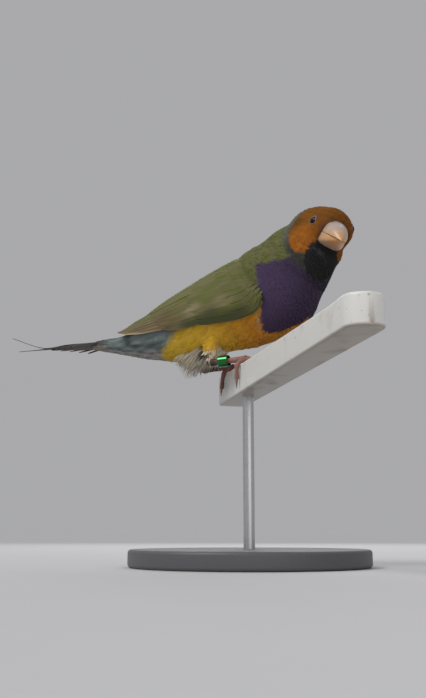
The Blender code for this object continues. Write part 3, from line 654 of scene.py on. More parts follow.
def body_markings(points, u, rise, share):
    """Colours of body, neck and thighs from the station, the angle above the widest line and the share
    of the section's radius. The flank's streaks are a wave that hardly changes along the comb."""
    wander = ripple(points, 5.0, 3)
    fine = ripple(points, 1.6, 4)
    combed = points - 0.85 * (points @ FLANK_COMB)[:, None] * FLANK_COMB
    flank = step(ripple(combed, 2.6, 6), 0.3, 1.0) * step(-rise, 10, 30)
    yellow = mixed(YELLOW * (0.86, 0.96, 0.9), YELLOW, step(u, 4.6, 1.6))
    colour = mixed(yellow, AMBER * 0.85, step(u, 5.5, 1.2) * step(-rise, 25, 50))
    colour = mixed(colour, colour * 0.85, 0.5 + 0.5 * fine)
    colour = mixed(colour, colour * (0.85, 0.80, 0.75), flank)
    belly_edge = np.interp(u, *BELLY_EDGE.T) + 5 * wander
    belly_middle = step(-rise, belly_edge, 10) * step(4.9, u, 0.6)
    colour = mixed(colour, CREAM, belly_middle)
    rear_edge = np.interp(rise, *YELLOW_REAR.T) + 0.10 * wander
    streak = np.clip(0.5 + 0.5 * ripple(points * (0.25, 1, 1), 2.2, 5), 0, 1)
    rear = mixed(TEAL_GREY * 0.45, TEAL_GREY * 1.45, streak)
    pale = mixed(CREAM * 0.26, CREAM * 0.55, streak)
    rear = mixed(rear, pale, step(-rise, 50 + 8 * wander, 26))
    colour = mixed(rear, colour, step(u, rear_edge, 0.35))
    olive = mixed(GREEN, OLIVE, 0.35 + 0.35 * wander)
    olive_edge = np.interp(u, *OLIVE_EDGE.T) + 4 * wander
    colour = mixed(colour, olive, step(rise, olive_edge, 10) * step(u, 2.9, 1.2))
    ash = mixed(SOOT * 2.2, SOOT * 4.5, streak)
    ash = mixed(ash, BEIGE * 0.32, step(-rise, 20, 40))
    colour = mixed(colour, ash, step(TAIL_END, u, 0.5))
    thigh = step(share, 1.03, 0.06) * step(75.6, points[:, 2], 1.5)
    colour = mixed(colour, BEIGE, 0.75 * thigh)
    bib_edge = np.interp(rise, *BIB_REAR.T)
    pale_edge = line(u, bib_edge - 0.08, 0.06) * step(-rise, 25, 20) * step(rise, -62, 12)
    colour = mixed(colour, CREAM * 0.6, 0.22 * pale_edge)
    bib = step(u, bib_edge + 0.04 * wander, 0.12) * step(np.interp(u, *BIB_TOP.T) + 2 * wander, rise, 7)
    # Painted shade: the purple is painted darker towards the front of the bib, and darker again
    # underneath.
    shade = mixed(PURPLE, PURPLE * (0.75, 0.8, 0.75), step(u, 7.6, 1.6))
    shade = mixed(shade, shade * (0.70, 0.72, 0.66), step(-rise, 50, 30))
    return mixed(colour, shade, bib)


def markings(points):
    """The plumage colour at any point of the bird."""
    u, angle, share = body_place(points)
    colour = body_markings(points, u, rise_of(angle), share)
    forward, right, up, _ = head_place(points)
    near_head = step(u, 7.7, 0.5)
    local = np.stack([forward, np.abs(right), up], 1)
    far = np.linalg.norm((local - MASK_CENTRE) / MASK_FLAT, axis=1) + 0.25 * ripple(points, 3.0, 7)
    from_throat = np.hypot(*((np.stack([right, up], 1) - THROAT_MIDDLE) / THROAT_HALF).T)
    throat = step(1.0 + 0.05 * ripple(points, 2.0, 8), from_throat, 0.14) * step(forward, 1.0, 3.0)
    band = mixed(SLATE * (0.4, 0.42, 0.42), SLATE, step(up, -6.5, 6.0))
    colour = mixed(colour, band, near_head * step(MASK_RADIUS + BAND_WIDTH, far, 1.8))
    mask = mixed(ORANGE, ORANGE * (0.56, 0.63, 0.56), step(up, 1.5, 7.0))
    # Painted shade: the rear, lower part of the cheek is painted darker.
    mask = mixed(mask, mask * (0.42, 0.54, 0.58), step(2.0, forward, 5.0) * step(2.5, up, 4.0))
    # Painted shade: the far, lower side of the face is painted darker.
    mask = mixed(mask, mask * (0.62, 0.68, 0.62), step(-right, 4.0, 3.0) * step(1.0, up, 4.0))
    mask = mixed(mask, mask * 0.8, np.clip(0.5 + ripple(points, 2.6, 9), 0, 1))
    inside = near_head * step(MASK_RADIUS, far, 0.8) * step(up, CHEEK_LOW, 1.0)
    colour = mixed(colour, mask, inside)
    rim = near_head * line(far, MASK_RADIUS + 0.3, 0.8) * 0.35
    colour = mixed(colour, SOOT, rim)
    ring = np.hypot(right / BILL_RING_WIDTH, (up - BILL_MIDDLE) / BILL_RING_HEIGHT)
    lores = line(ring, 1.03, 0.2 + 0.22 * step(right, 1.0, 3.0)) * step(forward, 6.2, 0.8)
    lores = lores * (0.85 - 0.4 * step(up, 1.0, 3.0))
    colour = mixed(colour, SOOT, lores)
    return mixed(colour, SOOT, near_head * throat)


skin_colours = markings(skin_points)
print("Mean skin colour", skin_colours.mean(0).round(3))

# %% [markdown]
# Feathers are soft and dull but catch a pale sheen at grazing angles. Each vane is striped by barbs that
# run out from its shaft, and these give the fine silky grain. The stripes are worked out from the vane's
# own map, how far along and how far across, so they follow each feather wherever it lies.


# %% The plumage finish
def plumage(name, barbs, roughness=0.75, sheen=0.03, depth=0.010, shaft=0.0):
    """A feather material: the stored tint, lighter and darker along the barbs and from feather to
    feather. The barb phase is along times a count, less the distance from the shaft, which is a
    darker line where a share of the light is taken away next to the middle."""
    sheens = {"Sheen_Weight": sheen, "Sheen_Roughness": 0.45, "Specular_IOR_Level": 0.08}
    material, shader, place = new_finish(name, roughness, **sheens)
    own = stored(place, "vane", output=1)
    along, across, draw = (own.node("SeparateXYZ", inputs={0: own}, output=k) for k in range(3))
    out = across.node("Math", {"operation": "ABSOLUTE"}, {0: across})
    phase = along * barbs - out * (0.22 * barbs) + draw * 7.0
    stripe = phase.node("Math", {"operation": "SINE"}, {0: phase * (2 * np.pi)}) * 0.5 + 0.5
    grain = noise(place, 0.7, 4.0)
    light = 0.88 + stripe * 0.06 + draw * 0.07 + grain * 0.12
    if shaft:
        light = light - eased(out, 0.0, 0.10, start=shaft, end=0.0)
    tinted(stored(place, "tint"), light).to(shader, "Base Color")
    roughened(grain, roughness).to(shader, "Roughness")
    bumped(stripe + grain * 0.6, depth).to(shader, "Normal")
    return material


def bare_skin(name):
    """The skin's finish: the same markings, broken up finely, so that gaps in the coat don't show."""
    material, shader, place = new_finish(name, 0.8, Sheen_Weight=0.1)
    grain = noise(place, 0.5, 4.0)
    tinted(stored(place, "tint"), 0.55 + grain * 0.5).to(shader, "Base Color")
    bumped(grain, 0.15).to(shader, "Normal")
    return material


paint(skin, skin_colours)
flesh_nodes = ("torso", "rump", "neck", "head", "thigh_right", "thigh_left")
dress(skin, bare_skin("plumage_ground"), "belly", *flesh_nodes)

# %% [markdown]
# The coat. Roots are drawn at random on the skin by area, then thinned so that only one is left in each
# small cube, which spreads them evenly. At each root the lie of the coat is a direction field: away from
# the bill on the head, towards the tail on the body, down the leg on the thigh. Each feather is a thin
# closed lens, flat at two corners, three points across and a few along. It is sunk at its root and laid
# over the next ones, and it bends down with the body's curve. Its normals lean towards the skin's, which
# gives plumage its softness. Only the loose feathers between the legs bend away from the skin, and keep
# more of their own normals.


# %% Roots and the lie of the coat
ROOT_COUNT, ROOT_SEED, ASKEW_SEED = 260000, 11, 12
# The thigh's feathers point down the leg and a little back.
THIGH_LIE = np.array([-0.55, 0.0, -0.85])
# Below this height, and this near to the thigh's middle line, the skin is the thigh's.
THIGH_TOP, THIGH_REACH = 77.0, 3.4
# Where the head's coat ends: a share of the section's radius, and how far behind the eyes.
HEAD_COAT_SHARE, HEAD_COAT_START = 1.12, -7.5


def root_points(count, seed):
    """Random points on the skin: a face by its area, then a point in it by two folded random numbers."""
    draw = np.random.default_rng(seed)
    face = skin_faces[draw.choice(len(skin_faces), count, p=face_areas / face_areas.sum())]
    a, b = draw.uniform(size=(2, count, 1))
    fold = a + b > 1
    a, b = np.where(fold, 1 - a, a), np.where(fold, 1 - b, b)
    weights = np.concatenate([1 - a - b, a, b], 1)[..., None]
    return (skin_points[face] * weights).sum(1), unit((skin_normals[face] * weights).sum(1))


# The cubes stand askew, so that no rows of feathers follow the body's own axes.
ASKEW = np.linalg.qr(np.random.default_rng(ASKEW_SEED).normal(size=(3, 3)))[0]


def thinned(points, spacing):
    """Picks one point in each cube of the given side."""
    _, kept = np.unique(np.floor(points @ ASKEW / spacing).astype(int), axis=0, return_index=True)
    return np.sort(kept)


def lie_of_coat(points, u, angle, head_share):
    """The unit direction in which feathers point, from root to tip, before it is laid on the skin:
    back along the body, and over the flank more steeply down."""
    along, _ = body_slopes(u, angle)
    flank = step(u, 3.4, 1.0) * step(6.4, u, 0.8) * step(-np.sin(angle), 0.15, 0.5)
    body = unit(-unit(along) + (0.12 + 0.55 * flank)[:, None] * np.array([0.0, 0.0, -1.0]))
    forward = head_place(points)[0]
    on_head = step(1.5, head_share, 0.5) * step(forward, -6.5, 5.0)
    return unit(mixed(body, -HEAD_FORWARD, on_head))


def thigh_share(points, body_share):
    """How near points are to either thigh's line below the belly, 1 on it and 0 away from it."""
    near = np.zeros(len(points))
    for side in ("right", "left"):
        path, _ = thigh_path(side, 12)
        gap = np.linalg.norm(points[:, None] - path[4:], axis=-1).min(1)
        near = np.maximum(near, step(THIGH_REACH, gap, 1.2))
    return near * step(THIGH_TOP, points[:, 2], 1.5) * step(body_share, 1.0, 0.06)


all_roots, all_normals = root_points(ROOT_COUNT, ROOT_SEED)
root_u, root_angle, root_share = body_place(all_roots)
root_rise = rise_of(root_angle)
root_forward, root_right, root_up, root_head = head_place(all_roots)
on_thigh = thigh_share(all_roots, root_share)
on_head = (root_head < HEAD_COAT_SHARE) & (root_forward > HEAD_COAT_START)
lie = lie_of_coat(all_roots, root_u, root_angle, root_head)
lie = np.where(on_thigh[:, None] > 0.5, unit(THIGH_LIE), lie)
print(len(all_roots), "possible roots,", on_head.sum(), "on the head")


# %% Clear of eyes, bill and wings
EYE_FORWARD, EYE_UP, EYE_RADIUS, EYE_PROUD, EYE_CLEAR = 3.9, 2.4, 2.1, 0.62, 2.35
BILL_BASE, BILL_SINK = 7.4, 1.5
BILL_HALF_WIDTH, BILL_HALF_HEIGHT = 4.5, 4.7
TAIL_CLEAR = 0.6


def eye_place(side):
    """An eye's centre and outward direction: it looks along the head's own normal there."""
    middle, half_height, half_width = head_row(EYE_FORWARD + np.array([-0.2, 0.0, 0.2])).T
    out = half_width * np.sqrt(1 - ((EYE_UP - middle) / half_height) ** 2)
    slope_up = -out[1] * (EYE_UP - middle[1]) / (half_height[1] ** 2 - (EYE_UP - middle[1]) ** 2)
    way = unit(np.array([-(out[2] - out[0]) / 0.4, 1.0, -slope_up])) * (1, side, 1)
    axis = way @ HEAD_AXES
    return from_head([EYE_FORWARD, side * out[1], EYE_UP]) - (EYE_RADIUS - EYE_PROUD) * axis, axis


EYES = {"right": eye_place(1), "left": eye_place(-1)}
from_eye = np.min([np.linalg.norm(all_roots - centre, axis=1) for centre, _ in EYES.values()], axis=0)
in_bill = np.hypot(root_right / BILL_HALF_WIDTH, (root_up - BILL_MIDDLE) / BILL_HALF_HEIGHT) < 0.97
in_bill = in_bill & (root_forward > BILL_BASE - BILL_SINK)
free = (from_eye > EYE_CLEAR) & ~in_bill & (root_u > TAIL_CLEAR)
print(free.sum(), "roots are free")


# %% A coat piece from its roots
ROOT_SUNK, FEATHER_THIN, FEATHER_ARCH, FEATHER_TAPER = 0.25, 0.07, 0.16, 0.25
FEATHER_ROLL = 0.05
# A feather's colour is read this share of its length from its root.
TINT_PLACE = 0.65
# How far the normals lean towards the skin's, on feathers that bend down and on those that stand off.
LEAN, LOOSE_LEAN = 0.95, 0.2


def feather_shape(rows, taper):
    """A feather's outline: half width sin of the share along to a power, narrower towards the tip."""
    along = np.linspace(0, 1, rows) ** 0.85
    return along, np.sin(np.pi * np.clip(along, 0.05, 0.97) ** 0.72) ** 0.6 * (1 - taper * along**3)


def coat(name, pick, sizes, seed, material, slot, rows=4, spread=6.0, bend=13.0, wash=0.0):
    """Plants one feather at each thinned root that pick allows, from the sizes spacing, length, width
    and depth. A point of a feather is the root, plus along times length down the lie, plus across
    times width sideways, plus a rise from just under the skin to the coat's depth, less the fall of a
    circle of the bend's radius, so that a negative bend lifts the tip. Its colour is read at the
    middle of its outer half, which is the part that shows, and a wash of beige may go over it."""
    spacing, length, width, depth = sizes
    index = np.flatnonzero(pick & free)
    index = index[thinned(all_roots[index], spacing)]
    draw = np.random.default_rng(seed)
    count = len(index)
    normal, root = all_normals[index], all_roots[index]
    way = lie[index] - (lie[index] * normal).sum(1, keepdims=True) * normal
    turn = np.radians(draw.normal(0, spread, count))[:, None]
    side = np.cross(normal, unit(way))
    way = unit(np.cos(turn) * unit(way) + np.sin(turn) * side)
    roll = draw.normal(0, FEATHER_ROLL, count)[:, None]
    side = unit(np.cross(normal, way) + roll * normal)
    face = np.where(on_head[index], np.interp(root_forward[index], (3.0, 8.5), (1.0, 0.5)), 1.0)
    long = (length * face * draw.uniform(0.75, 1.25, count))[:, None, None]
    wide = (width * face * draw.uniform(0.85, 1.15, count))[:, None, None]
    deep = depth * draw.uniform(0.85, 1.15, count)[:, None, None]
    along, outline = feather_shape(rows, FEATHER_TAPER)
    s, t = np.meshgrid([-1.0, 0.0, 1.0], along)
    across = s * outline[:, None]
    sideways = 0.5 * wide * across
    rise = (deep + ROOT_SUNK) * t**0.8 - ROOT_SUNK - (long * t) ** 2 / (2 * bend)
    rise = rise - FEATHER_ARCH * wide * s**2
    top = root[:, None, None] + long[..., None] * t[..., None] * way[:, None, None]
    top = top + sideways[..., None] * side[:, None, None] + rise[..., None] * normal[:, None, None]
    under = top[:, 1:-1, 1:-1] - FEATHER_THIN * normal[:, None, None]
    shape = np.concatenate([top.reshape(count, -1, 3), under.reshape(count, -1, 3)], 1)
    points, faces = copies(shape, lens_faces(rows, 3))
    obj = new_object(name, points, faces, sharp=70)
    inner = np.s_[1:-1, 1:-1]
    own_t = np.concatenate([t.ravel(), t[inner].ravel()])
    own_s = np.concatenate([across.ravel(), s[inner].ravel()])
    store_vane_map(obj, own_t, own_s, draw.uniform(size=count), root_patch(index))
    tint = markings(root + TINT_PLACE * long[:, 0] * way)
    tint = mixed(tint, tint.mean(1, keepdims=True) + 0 * tint, draw.uniform(0, 0.12, count))
    tint = mixed(tint, BEIGE * draw.uniform(0.85, 1.1, (count, 1)), np.full(count, wash))
    paint(obj, np.repeat(tint, shape.shape[1], axis=0))
    lean_normals(obj, np.repeat(normal, shape.shape[1], axis=0), LEAN if bend > 0 else LOOSE_LEAN)
    return dress(obj, material, slot)


# %% [markdown]
# Each coat piece has a second map for when its colours are stored in an image: a tuft takes a tiny patch
# at its root's place on an unwrap of the skin. The unwrap opens the body along the belly, station
# against angle, and sets the head's own angles beside it.

# %% The unwrap, the vane's own map and leaning normals
PATCH = 0.003


def root_patch(index):
    """Where roots lie on the unwrap: the body fills the lower part, the head the upper."""
    body = np.stack([(root_angle[index] / (2 * np.pi)) % 1.0, 0.05 + 0.055 * root_u[index]], 1)
    turn = np.arctan2(root_up[index], root_right[index]) / (2 * np.pi) % 1.0
    head = np.stack([turn, 0.78 + 0.009 * (root_forward[index] + 10)], 1)
    return np.clip(np.where(on_head[index, None], head, body), 0.01, 0.99)


def vane_marks(along, across, draw):
    """How far along and across each point of each vane is, and a number that is the vane's own."""
    return np.stack(np.broadcast_arrays(along[None], across[None], draw[:, None]), -1).reshape(-1, 3)


def store_vane_map(obj, along, across, draw, patch):
    """Stores the marks of each feather's points, and its patch on the unwrap as a map."""
    put(obj.data, "vane", "FLOAT_VECTOR", vane_marks(along, across, draw))
    uv = patch[:, None] + PATCH * np.stack([across / 2, along - 0.5], -1)
    loops = np.empty(len(obj.data.loops), np.int32)
    obj.data.loops.foreach_get("vertex_index", loops)
    layer = obj.data.uv_layers.new(name="OFBake")
    layer.data.foreach_set("uv", uv.reshape(-1, 2)[loops].astype(np.float32).ravel())


def lean_normals(obj, towards, amount):
    """Turns the shading normals part of the way towards those of the skin underneath."""
    own = read_mesh(obj.data)[2]
    own = np.where((own * towards).sum(1, keepdims=True) < 0, towards, own)
    obj.data.normals_split_custom_set_from_vertices(unit(own + (towards - own) * amount))


# %% The small feathers, piece by piece
# The folded wing covers the body above these angles, so no small feathers are planted there.
WING_LOW = np.array([(2.4, 12.0), (3.15, -11.0), (4.4, -29.0), (5.4, -33.0), (6.3, -36.0), (6.95, -21.0)])
# Stations where one piece of the coat gives way to the next, and the angle between the side and the back.
NECK_START, BREAST_END, BIB_START, REAR_END, BACK_START, BACK_LOW = 8.2, 7.0, 5.9, 3.3, 3.2, 20
# For each kind of feather: the spacing of the roots, then length, width and depth of the coat.
FEATHERS = {
    "head": (0.34, 1.7, 0.62, 0.55),
    "neck": (0.42, 2.3, 0.85, 0.6),
    "bib": (0.45, 2.8, 1.0, 0.5),
    "back": (0.55, 3.4, 1.2, 0.8),
    "belly": (0.50, 4.2, 1.0, 0.8),
    "thigh": (0.35, 2.6, 0.8, 0.4),
    "vent": (0.7, 5.0, 0.9, 1.0),
    "wisp": (0.7, 6.6, 0.8, 1.2),
}
small = plumage("plumage_small", 6.0)
soft = plumage("plumage_soft", 8.0, roughness=0.8, sheen=0.05)
under_wing = (root_rise > np.interp(root_u, *WING_LOW.T) + 9) & (root_rise < 50)
under_wing = under_wing & (root_u > 2.6) & (root_u < 6.3)
on_body = ~on_head & (on_thigh < 0.5) & ~under_wing
below = on_body & (root_rise < BACK_LOW)
neck = on_body & (root_u > NECK_START)
bib = below & (root_u > BREAST_END) & (root_u <= NECK_START)
breast = below & (root_u > BIB_START) & (root_u <= BREAST_END)
belly = below & (root_u > REAR_END) & (root_u <= BIB_START)
back = on_body & (root_rise >= BACK_LOW) & (root_u > BACK_START) & (root_u <= NECK_START)
rear = on_body & (root_u <= REAR_END)
coat("coat_head", on_head, FEATHERS["head"], 21, small, "mask", spread=8.0, bend=8.0)
coat("coat_neck", neck, FEATHERS["neck"], 22, small, "chest", bend=8.0)
coat("coat_bib", bib, FEATHERS["bib"], 23, soft, "chest", bend=9.0)
coat("coat_breast", breast, FEATHERS["bib"], 30, soft, "chest", bend=9.0)
coat("coat_back", back, FEATHERS["back"], 24, small, "wing")
coat("coat_belly", belly, FEATHERS["belly"], 25, soft, "belly", rows=5)
coat("coat_rear", rear, FEATHERS["belly"], 26, soft, "coverts", rows=5, bend=16.0)
# On the thighs only roots whose lie runs along the skin are used, or feathers would stand out at the heel.
thighs = (on_thigh >= 0.5) & (np.abs((all_normals * lie).sum(1)) < 0.7)
coat("coat_thighs", thighs, FEATHERS["thigh"], 27, soft, "belly", bend=6.0)
# Between the legs hang loose pale feathers, and longer and looser wisps among them.
vent = on_body & (root_u > 4.1) & (root_u < 5.1) & (root_rise < -60)
wisps = on_body & (root_u > 4.35) & (root_u < 5.1) & (root_rise < -62)
loose = {"spread": 12.0, "bend": -14.0, "wash": 0.8}
looser = {"spread": 9.0, "bend": -6.5, "wash": 0.9}
coat("coat_vent", vent, FEATHERS["vent"], 28, soft, "coverts", rows=6, **loose)
coat("coat_wisps", wisps, FEATHERS["wisp"], 29, soft, "coverts", rows=8, **looser)

# %% [markdown]
# The folded wing. Long flight feathers lie lowest and point back, and each shorter row covers the roots
# of the one before, down to the tiny coverts at the bend. A row is set by its first and last feather, as
# places between the folded wing's lower and upper edges. Within a row every lower edge stands a little
# proud over the next feather down, like shingles, which is what gives a closed wing its fine lines.

# %% The wing's edges, and rows of vanes on the body's surface
WING_EDGES = np.array(
    [
        (1.75, 41.0, 47.0),
        (2.4, 12.0, 56.0),
        (3.15, -11.0, 62.0),
        (4.4, -29.0, 65.0),
        (5.4, -33.0, 65.0),
        (6.3, -36.0, 56.0),
        (6.95, -21.0, 30.0),
    ]
)
WING_CLEAR, VANE_SUNK, VANE_TILT, VANE_THIN = 0.4, 0.15, 0.28, 0.12
SHAFT_HEIGHT, VANE_ARCH = 0.10, 0.10
# A vane's lift grows or falls along it by these factors. The long feathers rise towards their tips.
SWELL_PLACES = (0.0, 0.36, 0.68, 0.9, 1.0)
LONG_SWELLS, SWELLS = (0.9, 1.1, 1.7, 2.1), (1.0, 0.95, 0.88, 0.82)
# Per row: count, how blunt the tip is, then for the first and the last feather the station and share
# up the wing of root and tip, half width and lift.
WING_ROWS = {
    "primary": (8, 5.0, (6.1, 0.20, 1.80, 0.36, 2.3, 0.80), (5.9, 0.42, 2.60, 0.98, 2.4, 1.00)),
    "secondary": (7, 8.0, (6.0, 0.16, 3.80, 0.20, 2.5, 1.15), (6.0, 0.60, 3.30, 0.68, 2.5, 1.30)),
    "tertial": (4, 7.0, (6.1, 0.68, 3.50, 0.74, 2.7, 1.50), (6.2, 0.90, 2.95, 0.88, 2.6, 1.60)),
    "greater_covert": (10, 6.0, (6.5, 0.10, 4.90, 0.11, 2.0, 1.60), (6.4, 0.88, 4.60, 0.90, 2.0, 1.80)),
    "median_covert": (10, 5.0, (6.7, 0.14, 5.70, 0.11, 1.8, 1.85), (6.6, 0.86, 5.50, 0.88, 1.8, 2.00)),
    "lesser_covert": (11, 4.0, (6.66, 0.20, 6.16, 0.11, 1.4, 2.00), (6.66, 0.84, 5.95, 0.88, 1.4, 2.15)),
    "marginal_covert": (12, 4.0, (6.76, 0.18, 6.38, 0.12, 1.1, 1.65), (6.82, 0.92, 6.25, 0.86, 1.2, 1.90)),
    "scapular": (9, 4.0, (6.95, 1.02, 6.20, 0.95, 1.7, 1.50), (5.30, 1.08, 4.20, 1.00, 1.8, 1.20)),
}
VANE_ROWS = 22
VANE_ACROSS = np.array([-1.0, -0.75, -0.45, -0.12, 0.0, 0.12, 0.45, 0.75, 1.0])
VANE_ALONG = 1 - (1 - np.linspace(0, 1, VANE_ROWS)) ** 1.5


def wing_place(station, share):
    """The angle at a share of the way from the wing's lower edge up to its upper edge."""
    row = np.interp(station, WING_EDGES[:, 0], np.arange(len(WING_EDGES)))
    edges = np.radians(smooth_rows(WING_EDGES, row))
    return edges[..., 1] + (edges[..., 2] - edges[..., 1]) * share


def vane_outline(along, blunt):
    """Half width as a share: it swells from the root, then falls as the root of one minus a power of
    the share along, so that a greater power makes a blunter tip."""
    return (0.5 + 0.5 * step(along, 0.15, 0.5)) * np.sqrt(1.004 - along**blunt)


def wing_vanes(name, side):
    """Points of every vane in a row: the middle line's slopes on the body give the step in station and
    angle that leads across the feather, and the lift grows towards the lower edge and at the shaft."""
    count, blunt, first, last = WING_ROWS[name]
    share = np.linspace(0, 1, count)[:, None]
    root_u, root_up, tip_u, tip_up, half, lift = (a + (b - a) * share for a, b in zip(first, last))
    t = VANE_ALONG[None]
    u = root_u + (tip_u - root_u) * t
    v = wing_place(u, root_up + (tip_up - root_up) * t)
    along, over = body_slopes(u, v)
    way = np.gradient(body_point(u, v), axis=1)
    across = unit(np.cross(np.cross(along, over), way)) * (half * vane_outline(t, blunt))[..., None]
    aa, ab, bb = (along * along).sum(-1), (along * over).sum(-1), (over * over).sum(-1)
    ca, cb = (across * along).sum(-1), (across * over).sum(-1)
    size = aa * bb - ab**2
    du, dv = (ca * bb - cb * ab) / size, (cb * aa - ca * ab) / size
    s = VANE_ACROSS
    grid_u, grid_v = u[..., None] + du[..., None] * s, v[..., None] + dv[..., None] * s
    outermost = name in ("marginal_covert", "scapular")
    swells = LONG_SWELLS if name == "primary" else SWELLS
    swell = np.interp(t, SWELL_PLACES, (0.1 if outermost else 0.6, *swells))
    shaft = SHAFT_HEIGHT * np.exp(-((s / 0.09) ** 2)) * (1 - t[..., None])
    tilt = VANE_TILT if name in ("primary", "secondary", "tertial") else 0.7 * VANE_TILT
    low_side = tilt * vane_outline(t, blunt)[..., None] * s
    rise = (lift * swell)[..., None] + low_side + shaft - VANE_ARCH * s**2
    rise = np.maximum(rise, WING_CLEAR + VANE_SUNK)
    rise = rise + (-0.4 - rise) * step(np.degrees(grid_v), 64.0, 22.0)
    if outermost:
        rise = rise + (-0.5 - rise) * step(0.12, t[..., None], 0.24)
    if side == "left":
        grid_v = np.pi - grid_v
    thin = VANE_THIN * (1 - 0.6 * s**2)
    top, under = lifted(grid_u, grid_v, rise + thin), lifted(grid_u, grid_v, rise)
    return np.concatenate([top.reshape(count, -1, 3), under.reshape(count, -1, 3)], 1)


# %% Wing colours
PRIMARY_BROWN = np.array([0.150, 0.112, 0.056])
DARK_GREEN = np.array([0.050, 0.056, 0.024])
PALE_EDGE = np.array([0.460, 0.375, 0.245])
WORN_TAN = np.array([0.270, 0.220, 0.130])
# How pale the edges of the feathers are in the rows of long ones, and in all the other rows.
PALE_EDGES, FAINT_EDGE = {"primary": 0.30, "secondary": 0.12, "tertial": 0.20}, 0.08
# Worn places where the pale bases of the coverts show: station, angle, and the half sizes of each.
WORN = np.array([(4.88, -3.0, 0.30, 9.0), (5.78, -7.0, 0.24, 6.0)])


def wing_tint(name, points, across):
    """A wing's colour by its place: olive green, browner towards the tip and the lower edge, darkest low
    on the forward part, with pale lower edges on the long feathers and two worn, streaked patches."""
    mirrored = points * (1, -1, 1) if points[:, 1].mean() > 0 else points
    u, angle, _ = body_place(mirrored)
    rise = rise_of(angle)
    low, high = (np.interp(u, WING_EDGES[:, 0], WING_EDGES[:, k]) for k in (1, 2))
    up = (rise - low) / (high - low)
    wander = ripple(mirrored * (0.4, 1, 1), 4.0, 31)
    streak = np.clip(0.5 + 0.9 * ripple(mirrored * (0.25, 1, 1), 1.6, 32), 0, 1)
    colour = mixed(GREEN, OLIVE, np.clip(0.40 + 0.6 * wander, 0, 1))
    brown = step(4.5, u, 1.0) * step(0.46 + 0.05 * wander, up, 0.35)
    brown = np.maximum(brown, 0.7 * step(2.7, u, 0.7))
    colour = mixed(colour, mixed(PRIMARY_BROWN, PRIMARY_BROWN * 0.75, streak), brown)
    dark = step(0.20 + 0.03 * wander, up, 0.12) * step(u, 4.45, 0.4) * step(6.3, u, 0.5)
    colour = mixed(colour, DARK_GREEN, 0.85 * dark)
    place = np.stack([u, rise], 1)[:, None]
    worn = np.exp(-(((place - WORN[:, :2]) / WORN[:, 2:]) ** 2).sum(-1)).max(1)
    colour = mixed(colour, WORN_TAN, worn * streak)
    lowest = 0.8 * step(0.10, up, 0.10) * step(4.4, u, 0.5) if name == "primary" else 0.0
    pale = np.maximum(PALE_EDGES.get(name, FAINT_EDGE) * step(across, 0.9, 0.16), lowest)
    return mixed(colour, PALE_EDGE, pale)


# %% The two wings
# Under the coverts at the bend lies a low mound: its stations, its shares up the wing, and its height.
MOUND_STATIONS, MOUND_SHARES, MOUND_HEIGHT, MOUND_SIDE = (5.3, 6.62), (0.04, 0.96), 1.3, 24
MOUND_PROFILE = np.array([(5.3, 0.4), (5.9, 1.0), (6.3, 0.9), (6.62, 0.0)])
WING_SEED = 41
across_vane, along_vane = (np.tile(grid.ravel(), 2) for grid in np.meshgrid(VANE_ACROSS, VANE_ALONG))


def wing_mound(side):
    """A closed shell on the body's surface, arched up the wing as a half wave."""
    station, up = (np.linspace(*ends, MOUND_SIDE) for ends in (MOUND_STATIONS, MOUND_SHARES))
    station, up = np.meshgrid(station, up, indexing="ij")
    v = wing_place(station, up)
    v = np.pi - v if side == "left" else v
    hump = MOUND_HEIGHT * np.sin(np.pi * up) * np.interp(station, *MOUND_PROFILE.T)
    clear = np.full(v.shape, WING_CLEAR - 0.3)
    mound = np.concatenate([lifted(station, v, clear + VANE_SUNK + hump), lifted(station, v, clear)])
    mound = mound.reshape(-1, 3)
    return mound, outward(mound, shell_faces(MOUND_SIDE, MOUND_SIDE))


def make_wing(side, material):
    """All rows of a wing as one object, over the mound at the bend."""
    faces = shell_faces(VANE_ROWS, len(VANE_ACROSS))
    parts, tints, owns = [], [], []
    draw = np.random.default_rng(WING_SEED)
    for name in WING_ROWS:
        shape = wing_vanes(name, side)
        parts.append(copies(shape, faces))
        tints.append(wing_tint(name, shape.reshape(-1, 3), np.tile(across_vane, len(shape))))
        owns.append(vane_marks(along_vane, across_vane, draw.uniform(size=len(shape))))
    parts.append(wing_mound(side))
    under = len(parts[-1][0])
    tints.append(mixed(GREEN, OLIVE, np.full(under, 0.4)))
    owns.append(np.full((under, 3), 0.5))
    obj = new_object("wing_feathers_" + side, *joined(parts), sharp=60)
    paint(obj, np.vstack(tints))
    put(obj.data, "vane", "FLOAT_VECTOR", np.vstack(owns))
    return dress(obj, material, "wing", "wing_" + side)


vane_satin = plumage("vane_satin", 34.0, roughness=0.62, sheen=0.03, depth=0.02, shaft=0.22)
for side in ("right", "left"):
    make_wing(side, vane_satin)

# %% [markdown]
# The tail is closed to a narrow fan: two middle feathers drawn out to thin pins, and pairs that step
# down beside them, each shorter and drooped a little more, like the ridge of a roof. It is nearly black
# above, and below each pair further out is paler.

# %% The tail
TAIL_ROOT = np.array([-61.5, 0.0, 85.6])
PIN_PATHS = (
    ((-78.0, -0.5, 86.0), (-92.0, -0.9, 85.9), (-107.0, -2.4, 91.2)),
    ((-78.0, 0.6, 85.8), (-92.0, 0.5, 85.7), (-106.5, 1.4, 86.2)),
)
PIN_PLACES, PIN_HALF_WIDTHS = (0.0, 0.3, 0.6, 0.8, 1.0), (2.0, 2.1, 1.1, 0.45, 0.12)
TAIL_PAIRS, TAIL_HALF_WIDTH, TAIL_TIPS = 5, 2.3, (-89.0, -74.0)
TAIL_SPREAD, TAIL_STEP, TAIL_DROOP = 1.2, 0.42, 5.0
TAIL_THIN, TAIL_RIDGE, TAIL_ARCH = 0.22, 0.12, 0.05


